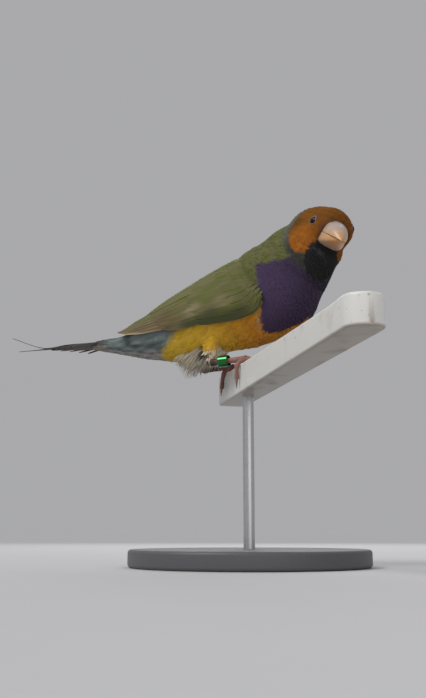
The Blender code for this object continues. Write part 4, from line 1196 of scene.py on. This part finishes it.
def flat_vane(middle, half, roll):
    """A vane along a line: sideways by the half width turned by roll, and raised at the shaft."""
    forward = unit(np.gradient(middle, axis=0))
    level = unit(np.cross(forward, (0.0, 0.0, 1.0)))
    across = np.cos(roll) * level + np.sin(roll) * np.cross(level, forward)
    up = np.cross(across, forward)
    s = VANE_ACROSS[None, :, None]
    half = half[:, None, None]
    ridge = TAIL_RIDGE * np.exp(-((s / 0.15) ** 2)) * half / half.max() - TAIL_ARCH * (s * half) ** 2
    grid = middle[:, None] + half * s * across[:, None] + ridge * up[:, None]
    thin = 0.5 * TAIL_THIN * up[:, None] * (1 - 0.6 * s**2)
    return np.concatenate([(grid + thin).reshape(-1, 3), (grid - thin).reshape(-1, 3)])


vanes = []
for path in PIN_PATHS:
    middle = smooth_rows(np.array([TAIL_ROOT, *path]), VANE_ALONG * 3)
    vanes.append(flat_vane(middle, np.interp(VANE_ALONG, PIN_PLACES, PIN_HALF_WIDTHS), 0.0))
for pair, tip_x in enumerate(np.linspace(*TAIL_TIPS, TAIL_PAIRS), start=1):
    for sign in (-1, 1):
        start = TAIL_ROOT + (0.0, 0.4 * sign * pair, -0.6 * TAIL_STEP * pair)
        end_z = TAIL_ROOT[2] - TAIL_STEP * pair - 0.1 * (sign > 0)
        end = np.array([tip_x, sign * TAIL_SPREAD * (pair - 0.3), end_z])
        middle = start + (end - start) * VANE_ALONG[:, None]
        half = TAIL_HALF_WIDTH * vane_outline(VANE_ALONG, 6.0)
        vanes.append(flat_vane(middle, half, np.radians(sign * TAIL_DROOP * pair)))
tail_points, tail_triangles = copies(np.array(vanes), shell_faces(VANE_ROWS, len(VANE_ACROSS)))
tail = new_object("tail_feathers", tail_points, tail_triangles, sharp=60)
# Tints from the pins to the outermost pair, for the upper and the lower side.
upper_tints = np.linspace((0.040, 0.039, 0.041), (0.065, 0.060, 0.056), TAIL_PAIRS + 1)
lower_tints = np.linspace((0.045, 0.043, 0.043), (0.115, 0.104, 0.092), TAIL_PAIRS + 1)
pair_of_vane = np.concatenate([[0, 0], np.repeat(np.arange(TAIL_PAIRS) + 1, 2)])
turned_down = np.repeat([0.0, 1.0], len(across_vane) // 2)[:, None]
tail_tint = upper_tints[pair_of_vane][:, None] * (1 - turned_down)
tail_tint = tail_tint + lower_tints[pair_of_vane][:, None] * turned_down
tail_tint = tail_tint * (1 + 0.6 * step(np.abs(across_vane), 0.9, 0.2))[:, None]
paint(tail, tail_tint.reshape(-1, 3))
tail_marks = vane_marks(along_vane, across_vane, np.linspace(0, 1, len(vanes)))
put(tail.data, "vane", "FLOAT_VECTOR", tail_marks)
dress(tail, vane_satin, "tail", "tail")

# %% [markdown]
# The bill is a short thick cone in two halves. Each half is a pile of arches: the width and the height
# shrink along it by a power of the share, which makes the ridge bow outwards, and near the tip both
# close as a circle does, so that the tip is blunt and round. The mouth line bends down at the gape.

# %% The bill
BILL_TIP, LOWER_TIP = 19.6, 17.6
BILL_ROLL, BILL_SHIFT = np.radians(14.0), np.array([0.0, 0.4, -0.25])
CULMEN_HEIGHT, CHIN_HEIGHT, GAPE_HEIGHT, TIP_HEIGHT = 3.6, -6.0, -2.0, -3.4
MOUTH_GAP = 0.08
NOSTRIL_FORWARD, NOSTRIL_SIDE, NOSTRIL_RADIUS, NOSTRIL_DEPTH = 9.1, 2.5, 0.45, 0.35
# The half's floor bows up a little between these shares of the width, and growth lines ring the horn.
FLOOR_ACROSS, FLOOR_RISE = [-0.6, -0.2, 0.2, 0.6], [0.06, 0.1, 0.1, 0.06]
GROWTH_HEIGHT, GROWTH_RATE = 0.03, 4.5
BILL_IVORY, BILL_LILAC = np.array([0.44, 0.34, 0.265]), np.array([0.38, 0.32, 0.305])
BILL_WARM = np.array([0.62, 0.28, 0.07])


def nostril(forward, right, rise):
    """1 in the middle of either nostril of the upper half and 0 outside, as a bell of the distance."""
    away = (forward - NOSTRIL_FORWARD) ** 2 + (np.abs(right) - NOSTRIL_SIDE) ** 2
    return np.exp(-away / NOSTRIL_RADIUS**2) * (rise > 0.3)


def bill_half(half, rows=72, arc=56):
    """Rings of one half, 1 for the upper and -1 for the lower: an arch above the mouth's edge, and
    the same edge bowed a little into the half as its floor. The lower half is squarer, and the upper
    has its two nostrils pressed in."""
    tip = BILL_TIP if half > 0 else LOWER_TIP
    t = 1 - (1 - np.linspace(0, 1, rows)) ** 1.6
    forward = BILL_BASE - 0.8 + (tip - BILL_BASE + 0.8) * t
    share = np.clip((forward - BILL_BASE) / (BILL_TIP - BILL_BASE), 0, 1)
    gape = GAPE_HEIGHT + (TIP_HEIGHT - GAPE_HEIGHT) * share**1.5
    blunt = np.sqrt(1.002 - t**9)
    width = BILL_HALF_WIDTH * (1 - 0.88 * t**2.1) * blunt * (1.0 if half > 0 else 1.03)
    outer = CULMEN_HEIGHT if half > 0 else CHIN_HEIGHT
    arch = (outer - GAPE_HEIGHT) * (1 - 0.90 * t ** (2.2 if half > 0 else 1.8)) * blunt
    angle = np.linspace(0, np.pi, arc)
    square = 0.95 if half > 0 else 0.56
    right = np.concatenate([np.sign(np.cos(angle)) * np.abs(np.cos(angle)) ** square, FLOOR_ACROSS])
    rise = np.concatenate([np.sin(angle) ** (0.85 * square), FLOOR_RISE])
    across = width[:, None] * right
    growth = np.sin(forward * GROWTH_RATE + 0.4 * np.abs(across[:, 10]))
    growth = GROWTH_HEIGHT * growth[:, None] * rise
    up = (gape + half * MOUTH_GAP)[:, None] + arch[:, None] * rise + half * growth
    if half > 0:
        pressed = NOSTRIL_DEPTH * nostril(forward[:, None], across, rise)
        across, up = across * (1 - 0.15 * pressed), up - pressed
    return np.stack(np.broadcast_arrays(forward[:, None], across, up), -1)


def rolled(local):
    """The bill is turned a little about its own axis, as the head is cocked: right and up are turned
    round the gape's height."""
    forward, right, up = np.moveaxis(local - (0, 0, GAPE_HEIGHT), -1, 0)
    cos, sin = np.cos(BILL_ROLL), np.sin(BILL_ROLL)
    turned = np.stack([forward, right * cos - up * sin, right * sin + up * cos], -1)
    return turned + BILL_SHIFT + (0, 0, GAPE_HEIGHT)


def bill_tint(local):
    """Ivory with a lilac cast at the ridge, warm orange pink towards the tip and along the mouth."""
    forward, right, up = local.T
    share = (forward - BILL_BASE) / (BILL_TIP - BILL_BASE)
    pale = mixed(BILL_IVORY, BILL_LILAC, step(up, 1.0, 4.0))
    mouth = GAPE_HEIGHT + (TIP_HEIGHT - GAPE_HEIGHT) * np.clip(share, 0, 1) ** 1.5
    near_mouth = np.clip(1 - np.abs(up - mouth) / 2.4, 0, 1) * step(share, 0.15, 0.4)
    lower = step(mouth, up, 0.5) * step(share, 0.1, 0.5)
    warm = np.clip(0.7 * step(share, 0.75, 0.7) + 0.4 * near_mouth + 0.55 * lower, 0, 1)
    colour = mixed(pale, BILL_WARM, warm * 0.85)
    # Painted shade: the nostril pits are painted dark.
    return mixed(colour, colour * 0.12, nostril(forward, right, up - GAPE_HEIGHT))


def horn_finish():
    """Horn: the stored tint with fine streaks along it, a slight clear coat and light let in."""
    coated = {"Coat_Weight": 0.25, "Coat_Roughness": 0.25}
    lit = {"Subsurface_Weight": 0.25, "Subsurface_Scale": 0.6 * MM, "Subsurface_Radius": (1.0, 0.5, 0.3)}
    material, shader, place = new_finish("bill_horn", 0.38, **coated, **lit)
    streak = noise(place, 0.5, 4.0, stretch=(1.5, 3.0, 1.0))
    cloud = noise(place, 2.0, 2.0)
    tinted(stored(place, "tint"), 0.82 + streak * 0.16 + cloud * 0.2).to(shader, "Base Color")
    roughened(streak, 0.38).to(shader, "Roughness")
    bumped(streak, 0.02).to(shader, "Normal")
    return material


bill_horn = horn_finish()
for name, half in (("bill_upper", 1), ("bill_lower", -1)):
    rings = bill_half(half)
    obj = new_object(name + "_horn", *tube(from_head(rolled(rings))))
    local, _ = tube(rings)
    paint(obj, bill_tint(local))
    dress(obj, bill_horn, "bill", name)

# %% [markdown]
# An eye is a ball sunk in the head, dark brown with a darker pupil under a clear wet coat. Round it runs
# a bare lilac lid, its opening a slanted almond, wrinkled into tiny beads.

# %% Balls, eyes and lids
# The pupil ends and the iris begins between these angles off the eye's axis.
PUPIL_END, IRIS_START = 0.42, 0.50
# Angles of the lid's almond opening: its mean, its length over its height, and its pointed corners.
LID_OPEN, LID_LONG, LID_CORNERS, LID_SLANT = 0.80, 0.10, 0.03, 0.5
LID_WIDTH, LID_CLEAR, LID_THICK = 0.22, 0.05, 0.14
BEAD_HEIGHT, BEAD_COUNT = 0.03, 26


def ball(centre, axis, radius, rings=40, sides=64):
    """Rings of a sphere round an axis, from its back to its front."""
    side = unit(np.cross(axis, HEAD_AXES[2]))
    return centre + radius * ball_rings(rings, sides) @ np.array([side, np.cross(axis, side), axis])


def eye_finish():
    """Brown iris round a black pupil, read from the stored angle off the eye's axis, under a coat."""
    wet = {"Coat_Weight": 0.22, "Coat_Roughness": 0.03, "Coat_IOR": 1.33, "Specular_IOR_Level": 0.1}
    material, shader, place = new_finish("eye_wet", 0.12, **wet)
    own = stored(place, "vane", output=1)
    out = own.node("SeparateXYZ", inputs={0: own})
    fibres = noise(place, 0.3, 3.0)
    iris = eased(out + fibres * 0.05, PUPIL_END, IRIS_START)
    blend(iris, (0.002, 0.002, 0.002, 1.0), (0.014, 0.007, 0.005, 1.0)).to(shader, "Base Color")
    (fibres * 0.06 + 0.08).to(shader, "Roughness")
    return material


def lid_rings(centre, axis, sign, sides=72, loop=14):
    """A thin band on the eye's ball between a slanted almond opening and a wider ring, as a closed
    loop carried round: outwards by the polar angle, with small beads along it."""
    side = unit(np.cross(axis, HEAD_AXES[2])) * sign
    other = HEAD_AXES[2] - (HEAD_AXES[2] @ axis) * axis
    turn, around = full_turn(sides), full_turn(loop)
    slant = turn - LID_SLANT
    inner = LID_OPEN + LID_LONG * np.cos(2 * slant) + LID_CORNERS * np.cos(4 * slant)
    outer = inner + LID_WIDTH
    polar = (inner + outer)[:, None] / 2 - (outer - inner)[:, None] / 2 * np.cos(around)
    beads = BEAD_HEIGHT * np.sin(turn * BEAD_COUNT)[:, None] * np.clip(np.sin(around), 0, 1)
    radius = EYE_RADIUS + LID_CLEAR + LID_THICK * np.sin(around)[None] + beads
    spoke = np.cos(turn)[:, None, None] * side + np.sin(turn)[:, None, None] * unit(other)
    way = np.sin(polar)[..., None] * spoke + np.cos(polar)[..., None] * axis
    return centre + radius[..., None] * way


def simple_finish(name, colour, roughness, size, amount, depth, **sockets):
    """A plain colour, darker by an amount and rougher in clouds of a given size."""
    material, shader, place = new_finish(name, roughness, **sockets)
    cloud = noise(place, size, 5.0)
    dark = (*(np.array(colour) * (1 - amount)), 1.0)
    blend(cloud, dark, (*colour, 1.0)).to(shader, "Base Color")
    roughened(cloud, roughness).to(shader, "Roughness")
    bumped(cloud, depth).to(shader, "Normal")
    return material


eye_wet = eye_finish()
lid_skin = simple_finish("lid_skin", (0.20, 0.17, 0.19), 0.6, 0.4, 0.4, 0.03)
for side, sign in (("right", 1), ("left", -1)):
    centre, axis = EYES[side]
    rings = ball(centre, axis, EYE_RADIUS)
    obj = new_object("eyeball_" + side, *tube(rings))
    polar = np.linspace(np.pi - POLE, POLE, len(rings))
    off = np.concatenate([np.repeat(polar, rings.shape[1]), [np.pi, 0.0]])
    put(obj.data, "vane", "FLOAT_VECTOR", np.stack([off, off, off], 1))
    dress(obj, eye_wet, "eye", "eye_" + side)
    lid = new_object("lid_" + side, *band(lid_rings(centre, axis, sign)))
    dress(lid, lid_skin, "eye")

# %% [markdown]
# The legs are bare: a tarsus with overlapping scutes down its front, three toes forward over the perch
# and one back. Each is a tube along a path, its radius swelling at the joints and stepping at each scute.
# The claws go on from the toes' ends.

# %% The perch's own frame, where the feet stand
PERCH_UNDERSIDE, PERCH_HEIGHT_FAR, PERCH_HEIGHT_NEAR = 59.6, 11.2, 8.0
PERCH_LEFT, PERCH_RIGHT, PERCH_ROUND = -4.7, 6.1, 0.9
PERCH_NEAR, PERCH_FAR = 112.0, 26.0
PERCH_LIP, PERCH_LIP_REACH = 0.5, 7.0
PERCH_TURN = np.radians(-50.4)
PERCH_AXIS = np.array([np.cos(PERCH_TURN), np.sin(PERCH_TURN), 0.0])
PERCH_SIDE = np.array([-np.sin(PERCH_TURN), np.cos(PERCH_TURN), 0.0])


def perch_top(along):
    """Height of the perch's upper face, which falls evenly towards the near end."""
    share = (along + PERCH_FAR) / (PERCH_NEAR + PERCH_FAR)
    return PERCH_UNDERSIDE + PERCH_HEIGHT_FAR + (PERCH_HEIGHT_NEAR - PERCH_HEIGHT_FAR) * share


def on_perch(along, across, height):
    """A point given along and across the perch and above its upper face there."""
    along, across, height = (np.asarray(value, float) for value in (along, across, height))
    flat = along[..., None] * PERCH_AXIS + across[..., None] * PERCH_SIDE
    return flat + (perch_top(along) + height)[..., None] * np.array([0.0, 0.0, 1.0])


# %% Legs, toes and claws
FOOT_ALONG, FOOT_ACROSS = {"right": 7.8, "left": -11.0}, -2.6
TARSUS_RADIUS, TOE_RADIUS, TOE_CLEAR = 0.95, 0.8, 0.3
TOE_FLESH, FOOT_HEIGHT, FOOT_BALL = 0.97, 0.55, 1.15
TARSUS_SCUTES, TARSUS_STEP, TOE_SCUTES, TOE_STEP = 9, 0.07, 12, 0.05
TUBE_SIDES = 28
TOES = {"inner": (5.0, 3.0), "middle": (1.2, 4.8), "outer": (-3.6, 2.6)}
HALLUX_SPREAD = {"right": -1.2, "left": -5.5}
CLAW_LENGTH, CLAW_SUNK, CLAW_RADIUS = 3.2, 0.3, 0.56
# The left leg, in the body's shade, is painted a darker, redder brown as painted shade, and both legs
# are painted dark near the heel as painted shade, the left one further down.
# The colour of the painted shade at the heel.
HEEL_SHADE = np.array([0.10, 0.08, 0.08])
# The left entry is darker and redder, as painted shade.
LEG_TINT = {"right": np.array([0.66, 0.63, 0.58]), "left": np.array([0.42, 0.32, 0.29])}
HEEL_REACH = {"right": 2.8, "left": 6.0}


def toe_path(side, name, count):
    """The middle line of a toe round the perch. Each row is a share of the toe's spread, its place
    across the perch, and its height over the perch there."""
    clear = TOE_CLEAR + TOE_RADIUS
    left, right = PERCH_LEFT - clear, PERCH_RIGHT + clear
    root = (0.0, FOOT_ACROSS, clear + 0.5)
    if name == "hallux":
        spread = HALLUX_SPREAD[side]
        rows = [root, (0.1, -3.9, clear + 0.1), (0.35, left - 0.05, -0.7), (1.0, left, -5.6)]
    else:
        spread, reach = TOES[name]
        rows = [root, (0.35, 0.2, clear), (0.8, 4.6, clear + 0.1), (0.95, right + 0.05, -0.8)]
        rows.append((1.0 + 0.1 * reach, right, -0.8 - reach))
    share, across, height = np.array(rows).T
    points = on_perch(FOOT_ALONG[side] + spread * share, across, height)
    return smooth_rows(points, np.linspace(0, len(points) - 1, count))


def leg_ends(side):
    """The heel and the foot, between which the tarsus runs straight."""
    return HEELS[side], on_perch(FOOT_ALONG[side], FOOT_ACROSS, TOE_CLEAR + TOE_RADIUS + FOOT_HEIGHT)


def scutes(share, count, height):
    """A saw tooth: each scute rises slowly and steps down at its end."""
    return height * (share * count % 1.0) ** 2


def scaled_tube(path, radii):
    """A closed round tube along a path, fine enough for scutes."""
    return tube(round_tube(path, radii, TUBE_SIDES))


def claw_line(path, count):
    """A claw's middle line: on from the toe's end, bowed away from the perch and back towards it."""
    end = path[-1]
    forward = unit(path[-1] - path[-5])
    outer = unit(end - (end @ PERCH_AXIS) * PERCH_AXIS - np.array([0.0, 0.0, end[2]]))
    t = np.linspace(0, 1, count)[:, None]
    bow = 0.5 * t * (1 - t) - 0.12 * t
    return end - CLAW_SUNK * forward + forward * (CLAW_LENGTH + 2 * CLAW_SUNK) * t + outer * bow


def leg_finish():
    """Pink scaled skin: paler along the scutes' edges, redder in patches, bumped by fine cells."""
    lit = {"Subsurface_Weight": 0.2, "Subsurface_Scale": 0.5 * MM}
    material, shader, place = new_finish("leg_scales", 0.5, **lit)
    cells = place.node("TexVoronoi", {"feature": "DISTANCE_TO_EDGE"}, {"Vector": place, "Scale": 1900.0})
    edge = cells.node("MapRange", inputs={0: cells, 2: 0.12})
    patch = noise(place, 2.2, 3.0)
    skin_colour = blend(patch, (0.22, 0.06, 0.045, 1.0), (0.56, 0.26, 0.22, 1.0))
    scaled = blend(edge, (0.52, 0.34, 0.28, 1.0), skin_colour)
    product(scaled, stored(place, "tint")).to(shader, "Base Color")
    (patch * 0.2 + 0.38).to(shader, "Roughness")
    bumped(edge, 0.05).to(shader, "Normal")
    return material


leg_scales = leg_finish()
claw_horn = simple_finish("claw_horn", (0.34, 0.22, 0.17), 0.35, 0.8, 0.5, 0.01, Coat_Weight=0.2)
for side in ("right", "left"):
    heel, foot = leg_ends(side)
    t = np.linspace(0, 1, 120)
    radii = TARSUS_RADIUS * (1 + 0.5 * (1 - t) ** 6 + 0.35 * t**6) + scutes(t, TARSUS_SCUTES, TARSUS_STEP)
    parts = [scaled_tube(heel + (foot - heel) * t[:, None], radii)]
    parts.append(tube(ball(foot - (0, 0, 0.2), np.array([0.0, 0.0, 1.0]), FOOT_BALL, 16, TUBE_SIDES)))
    for name in (*TOES, "hallux"):
        path = toe_path(side, name, 110)
        share = np.linspace(0, 1, len(path))
        knuckles = 1 + 0.10 * np.cos(share * 6 * np.pi)
        radii = TOE_FLESH * (1 - 0.25 * share) * knuckles + scutes(share, TOE_SCUTES, TOE_STEP)
        parts.append(scaled_tube(path, radii))
        claw_radii = CLAW_RADIUS * (1 - 0.9 * np.linspace(0, 1, 30) ** 1.4)
        claw = round_tube(claw_line(path, 30), claw_radii, 20)
        obj = new_object(f"claw_horn_{side}_{name}", *tube(claw))
        dress(obj, claw_horn, "claw", f"claw_{side}_{name}")
    points, triangles = joined(parts)
    leg = new_object("leg_skin_" + side, points, triangles)
    from_heel = np.linalg.norm(points - heel, axis=1)
    # Painted shade: the leg is dark at the heel and lightens within the heel's reach.
    paint(leg, mixed(HEEL_SHADE, LEG_TINT[side], step(from_heel, HEEL_REACH[side], 2.4)))
    dress(leg, leg_scales, "leg_skin", "leg_" + side)

# %% The leg ring
RING_OUTER, RING_WALL, RING_LENGTH, RING_PLACE = 2.15, 0.4, 3.8, 0.36
heel, foot = leg_ends("right")
ring_axis = unit(foot - heel)
ring_side = unit(np.cross(ring_axis, (0.31, 0.17, 0.94)))
corner = full_turn(32)
circle = np.stack([np.cos(corner), np.sin(corner)])
box_like = np.sign(circle) * np.abs(circle) ** 0.35
band_radius = RING_OUTER - RING_WALL / 2 + RING_WALL / 2 * box_like[0]
band_place = RING_LENGTH / 2 * box_like[1][:, None] * ring_axis
turn = full_turn(96)[:, None, None]
spoke = np.cos(turn) * ring_side + np.sin(turn) * np.cross(ring_axis, ring_side)
band_rings = heel + (foot - heel) * RING_PLACE + spoke * band_radius[:, None] + band_place
leg_band = new_object("leg_band", *band(band_rings))
anodised = {"Metallic": 0.85, "Coat_Weight": 0.5}
band_green = simple_finish("band_green", (0.020, 0.20, 0.045), 0.16, 1.5, 0.45, 0.01, **anodised)
dress(leg_band, band_green, "ring", "leg_ring")

# %% [markdown]
# The perch is moulded plastic: a bar with softly rounded corners, a little deeper at its far end. Its near
# end is a half round with a slight lip. It is drawn as rounded rectangles carried along the bar. Grime
# lies in blotches and specks, and the underside is painted darker and browner as painted shade.

# %% The perch
CORNER_POINTS = 9
CUT_BEVEL = 0.25
# The tint of the painted shade on the bar's underside.
UNDERSIDE_SHADE = np.array([0.52, 0.46, 0.40])


def rounded_section(middle, wide, bottom, top, bend):
    """Points round rectangles with rounded corners: a quarter circle round each corner's centre."""
    quarter = np.repeat(np.arange(4), CORNER_POINTS)
    turn = np.tile(np.linspace(0, np.pi / 2, CORNER_POINTS), 4) + quarter * np.pi / 2
    centre_across = middle + np.array([1, -1, -1, 1])[quarter] * (wide - bend)
    centre_up = np.where(quarter < 2, top - bend, bottom + bend)
    return centre_across + bend * np.cos(turn), centre_up + bend * np.sin(turn)


half, middle = (PERCH_RIGHT - PERCH_LEFT) / 2, (PERCH_RIGHT + PERCH_LEFT) / 2
straight_end = PERCH_NEAR - half
along = np.concatenate(
    [
        [-PERCH_FAR, -PERCH_FAR + CUT_BEVEL],
        np.linspace(-PERCH_FAR + 0.6, straight_end, 90),
        straight_end + half * np.sin(np.linspace(0.06, 1.55, 40)),
    ]
)
wide = np.sqrt(half**2 - np.maximum(0, along - straight_end) ** 2)
wide[0] -= CUT_BEVEL
lip = PERCH_LIP * np.exp(-(((along - straight_end) / PERCH_LIP_REACH) ** 2))
bend = np.minimum(PERCH_ROUND, 0.8 * wide)[:, None]
section_across, section_up = rounded_section(
    middle, wide[:, None], PERCH_UNDERSIDE + 0 * bend, (perch_top(along) + lip)[:, None], bend
)
perch_rings = along[:, None, None] * PERCH_AXIS + section_across[..., None] * PERCH_SIDE
perch_rings[..., 2] = section_up
perch = new_object("perch_bar", *tube(perch_rings), sharp=40)
# Painted shade on the underside: the tint falls towards the bottom of the section.
perch_points, _, _ = read_mesh(perch.data)
low_down = step(PERCH_UNDERSIDE + 0.5, perch_points[:, 2], 0.9)
paint(perch, mixed(np.ones(3), UNDERSIDE_SHADE, low_down))


def plastic_finish():
    """White moulded plastic: a faint orange peel, and brownish soil in blotches and specks."""
    lit = {"Subsurface_Weight": 0.08, "Subsurface_Scale": 1.5 * MM}
    material, shader, place = new_finish("perch_white", 0.42, **lit)
    soil = eased(noise(place, 9.0, 8.0), 0.52, 0.80, end=0.55)
    specks = eased(noise(place, 1.3, 3.0), 0.66, 0.74, end=0.6)
    white = blend(soil, (0.68, 0.675, 0.645, 1.0), (0.50, 0.44, 0.36, 1.0))
    # The stored tint carries the painted shade on the underside.
    white = product(white, stored(place, "tint"))
    blend(specks, white, (0.30, 0.22, 0.15, 1.0)).to(shader, "Base Color")
    (soil * 0.4 + 0.36).to(shader, "Roughness")
    bumped(noise(place, 0.6, 2.0) + soil * 0.5, 0.02).to(shader, "Normal")
    return material


dress(perch, plastic_finish(), "perch_plastic", "perch")

# %% [markdown]
# The photograph doesn't show how the bar is held, so a small turned stand carries it: a round painted
# base with bevelled edges and a thin steel rod. Both are profiles turned round the upright axis.

# %% The stand
BASE_RADIUS, BASE_THICK, BASE_BEVEL = 42.0, 6.0, 1.2
ROD_RADIUS, SOCKET_DEPTH = 2.0, 4.0


def lathe(profile, sides):
    """A profile of radius and height pairs turned round the upright axis."""
    radius, height = np.array(profile).T
    turn = full_turn(sides)
    x, y = radius[:, None] * np.cos(turn), radius[:, None] * np.sin(turn)
    return tube(np.stack(np.broadcast_arrays(x, y, height[:, None]), -1))


bevel = np.linspace(0, np.pi / 2, 8)
inner = BASE_RADIUS - BASE_BEVEL
lower = [(inner + BASE_BEVEL * np.sin(a), BASE_BEVEL - BASE_BEVEL * np.cos(a)) for a in bevel]
upper = [(r, BASE_THICK - z) for r, z in lower[::-1]]
base = new_object("stand_plate", *lathe([*lower, *upper], 160), sharp=60)
rod_bottom, rod_top = BASE_THICK - SOCKET_DEPTH, PERCH_UNDERSIDE + SOCKET_DEPTH
rod = new_object("stand_post", *lathe([(ROD_RADIUS, rod_bottom), (ROD_RADIUS, rod_top)], 64))


def steel_finish():
    """Brushed steel: fine streaks round the rod, from noise squeezed along the upright."""
    material, shader, place = new_finish("rod_steel", 0.3, Metallic=1.0)
    streak = noise(place, 3.0, 6.0, stretch=(1.0, 1.0, 0.03))
    blend(streak, (0.42, 0.42, 0.43, 1.0), (0.68, 0.68, 0.69, 1.0)).to(shader, "Base Color")
    (streak * 0.25 + 0.2).to(shader, "Roughness")
    bumped(streak, 0.01).to(shader, "Normal")
    return material


base_paint = simple_finish("base_paint", (0.10, 0.10, 0.11), 0.5, 0.5, 0.25, 0.015)
dress(base, base_paint, "stand", "stand_base")
dress(rod, steel_finish(), "rod", "stand_rod")

# %% [markdown]
# A plain pale floor and a pale surround stand in for a room. A broad sun, as from a large window high
# on the camera's left, gives soft shadows and lights near and far floor alike. Two weak area lights
# fill the shaded side and draw a faint rim along the back.

# %% Floor, surround and lights
FLOOR_REACH, FLOOR_DROP = 6000.0, 0.05
LIGHT_TARGET = (0, 0, 95)
floor_points = FLOOR_REACH * np.array([(-1, -1, 0), (1, -1, 0), (1, 1, 0), (-1, 1, 0)])
floor = new_object("floor", floor_points - (0, 0, FLOOR_DROP), np.array([[0, 1, 2], [0, 2, 3]]))
floor.data.materials.append(simple_finish("floor_paint", (0.50, 0.50, 0.51), 0.9, 30.0, 0.06, 0.05))

from mathutils import Vector


def new_light(name, kind, place, power):
    """A light at a place in millimetres, turned so that it shines at the bird."""
    light = bpy.data.lights.new(name, kind)
    light.energy = power
    obj = placed(name, light)
    obj.location = Vector(place) * MM
    obj.rotation_euler = (Vector(LIGHT_TARGET) * MM - obj.location).to_track_quat("-Z", "Y").to_euler()
    return light


new_light("window", "SUN", (-350, -600, 850), 1.7).angle = np.radians(32)
new_light("fill", "AREA", (450, -450, 200), 1.0).size = 0.6
new_light("rim", "AREA", (-200, 500, 500), 1.6).size = 0.5
surround = bpy.data.worlds.new("surround")
surround.use_nodes = True
surround.node_tree.nodes["Background"].inputs["Color"].default_value = (0.40, 0.40, 0.41, 1.0)
bpy.context.scene.world = surround
bpy.context.scene.view_settings.view_transform = "Standard"
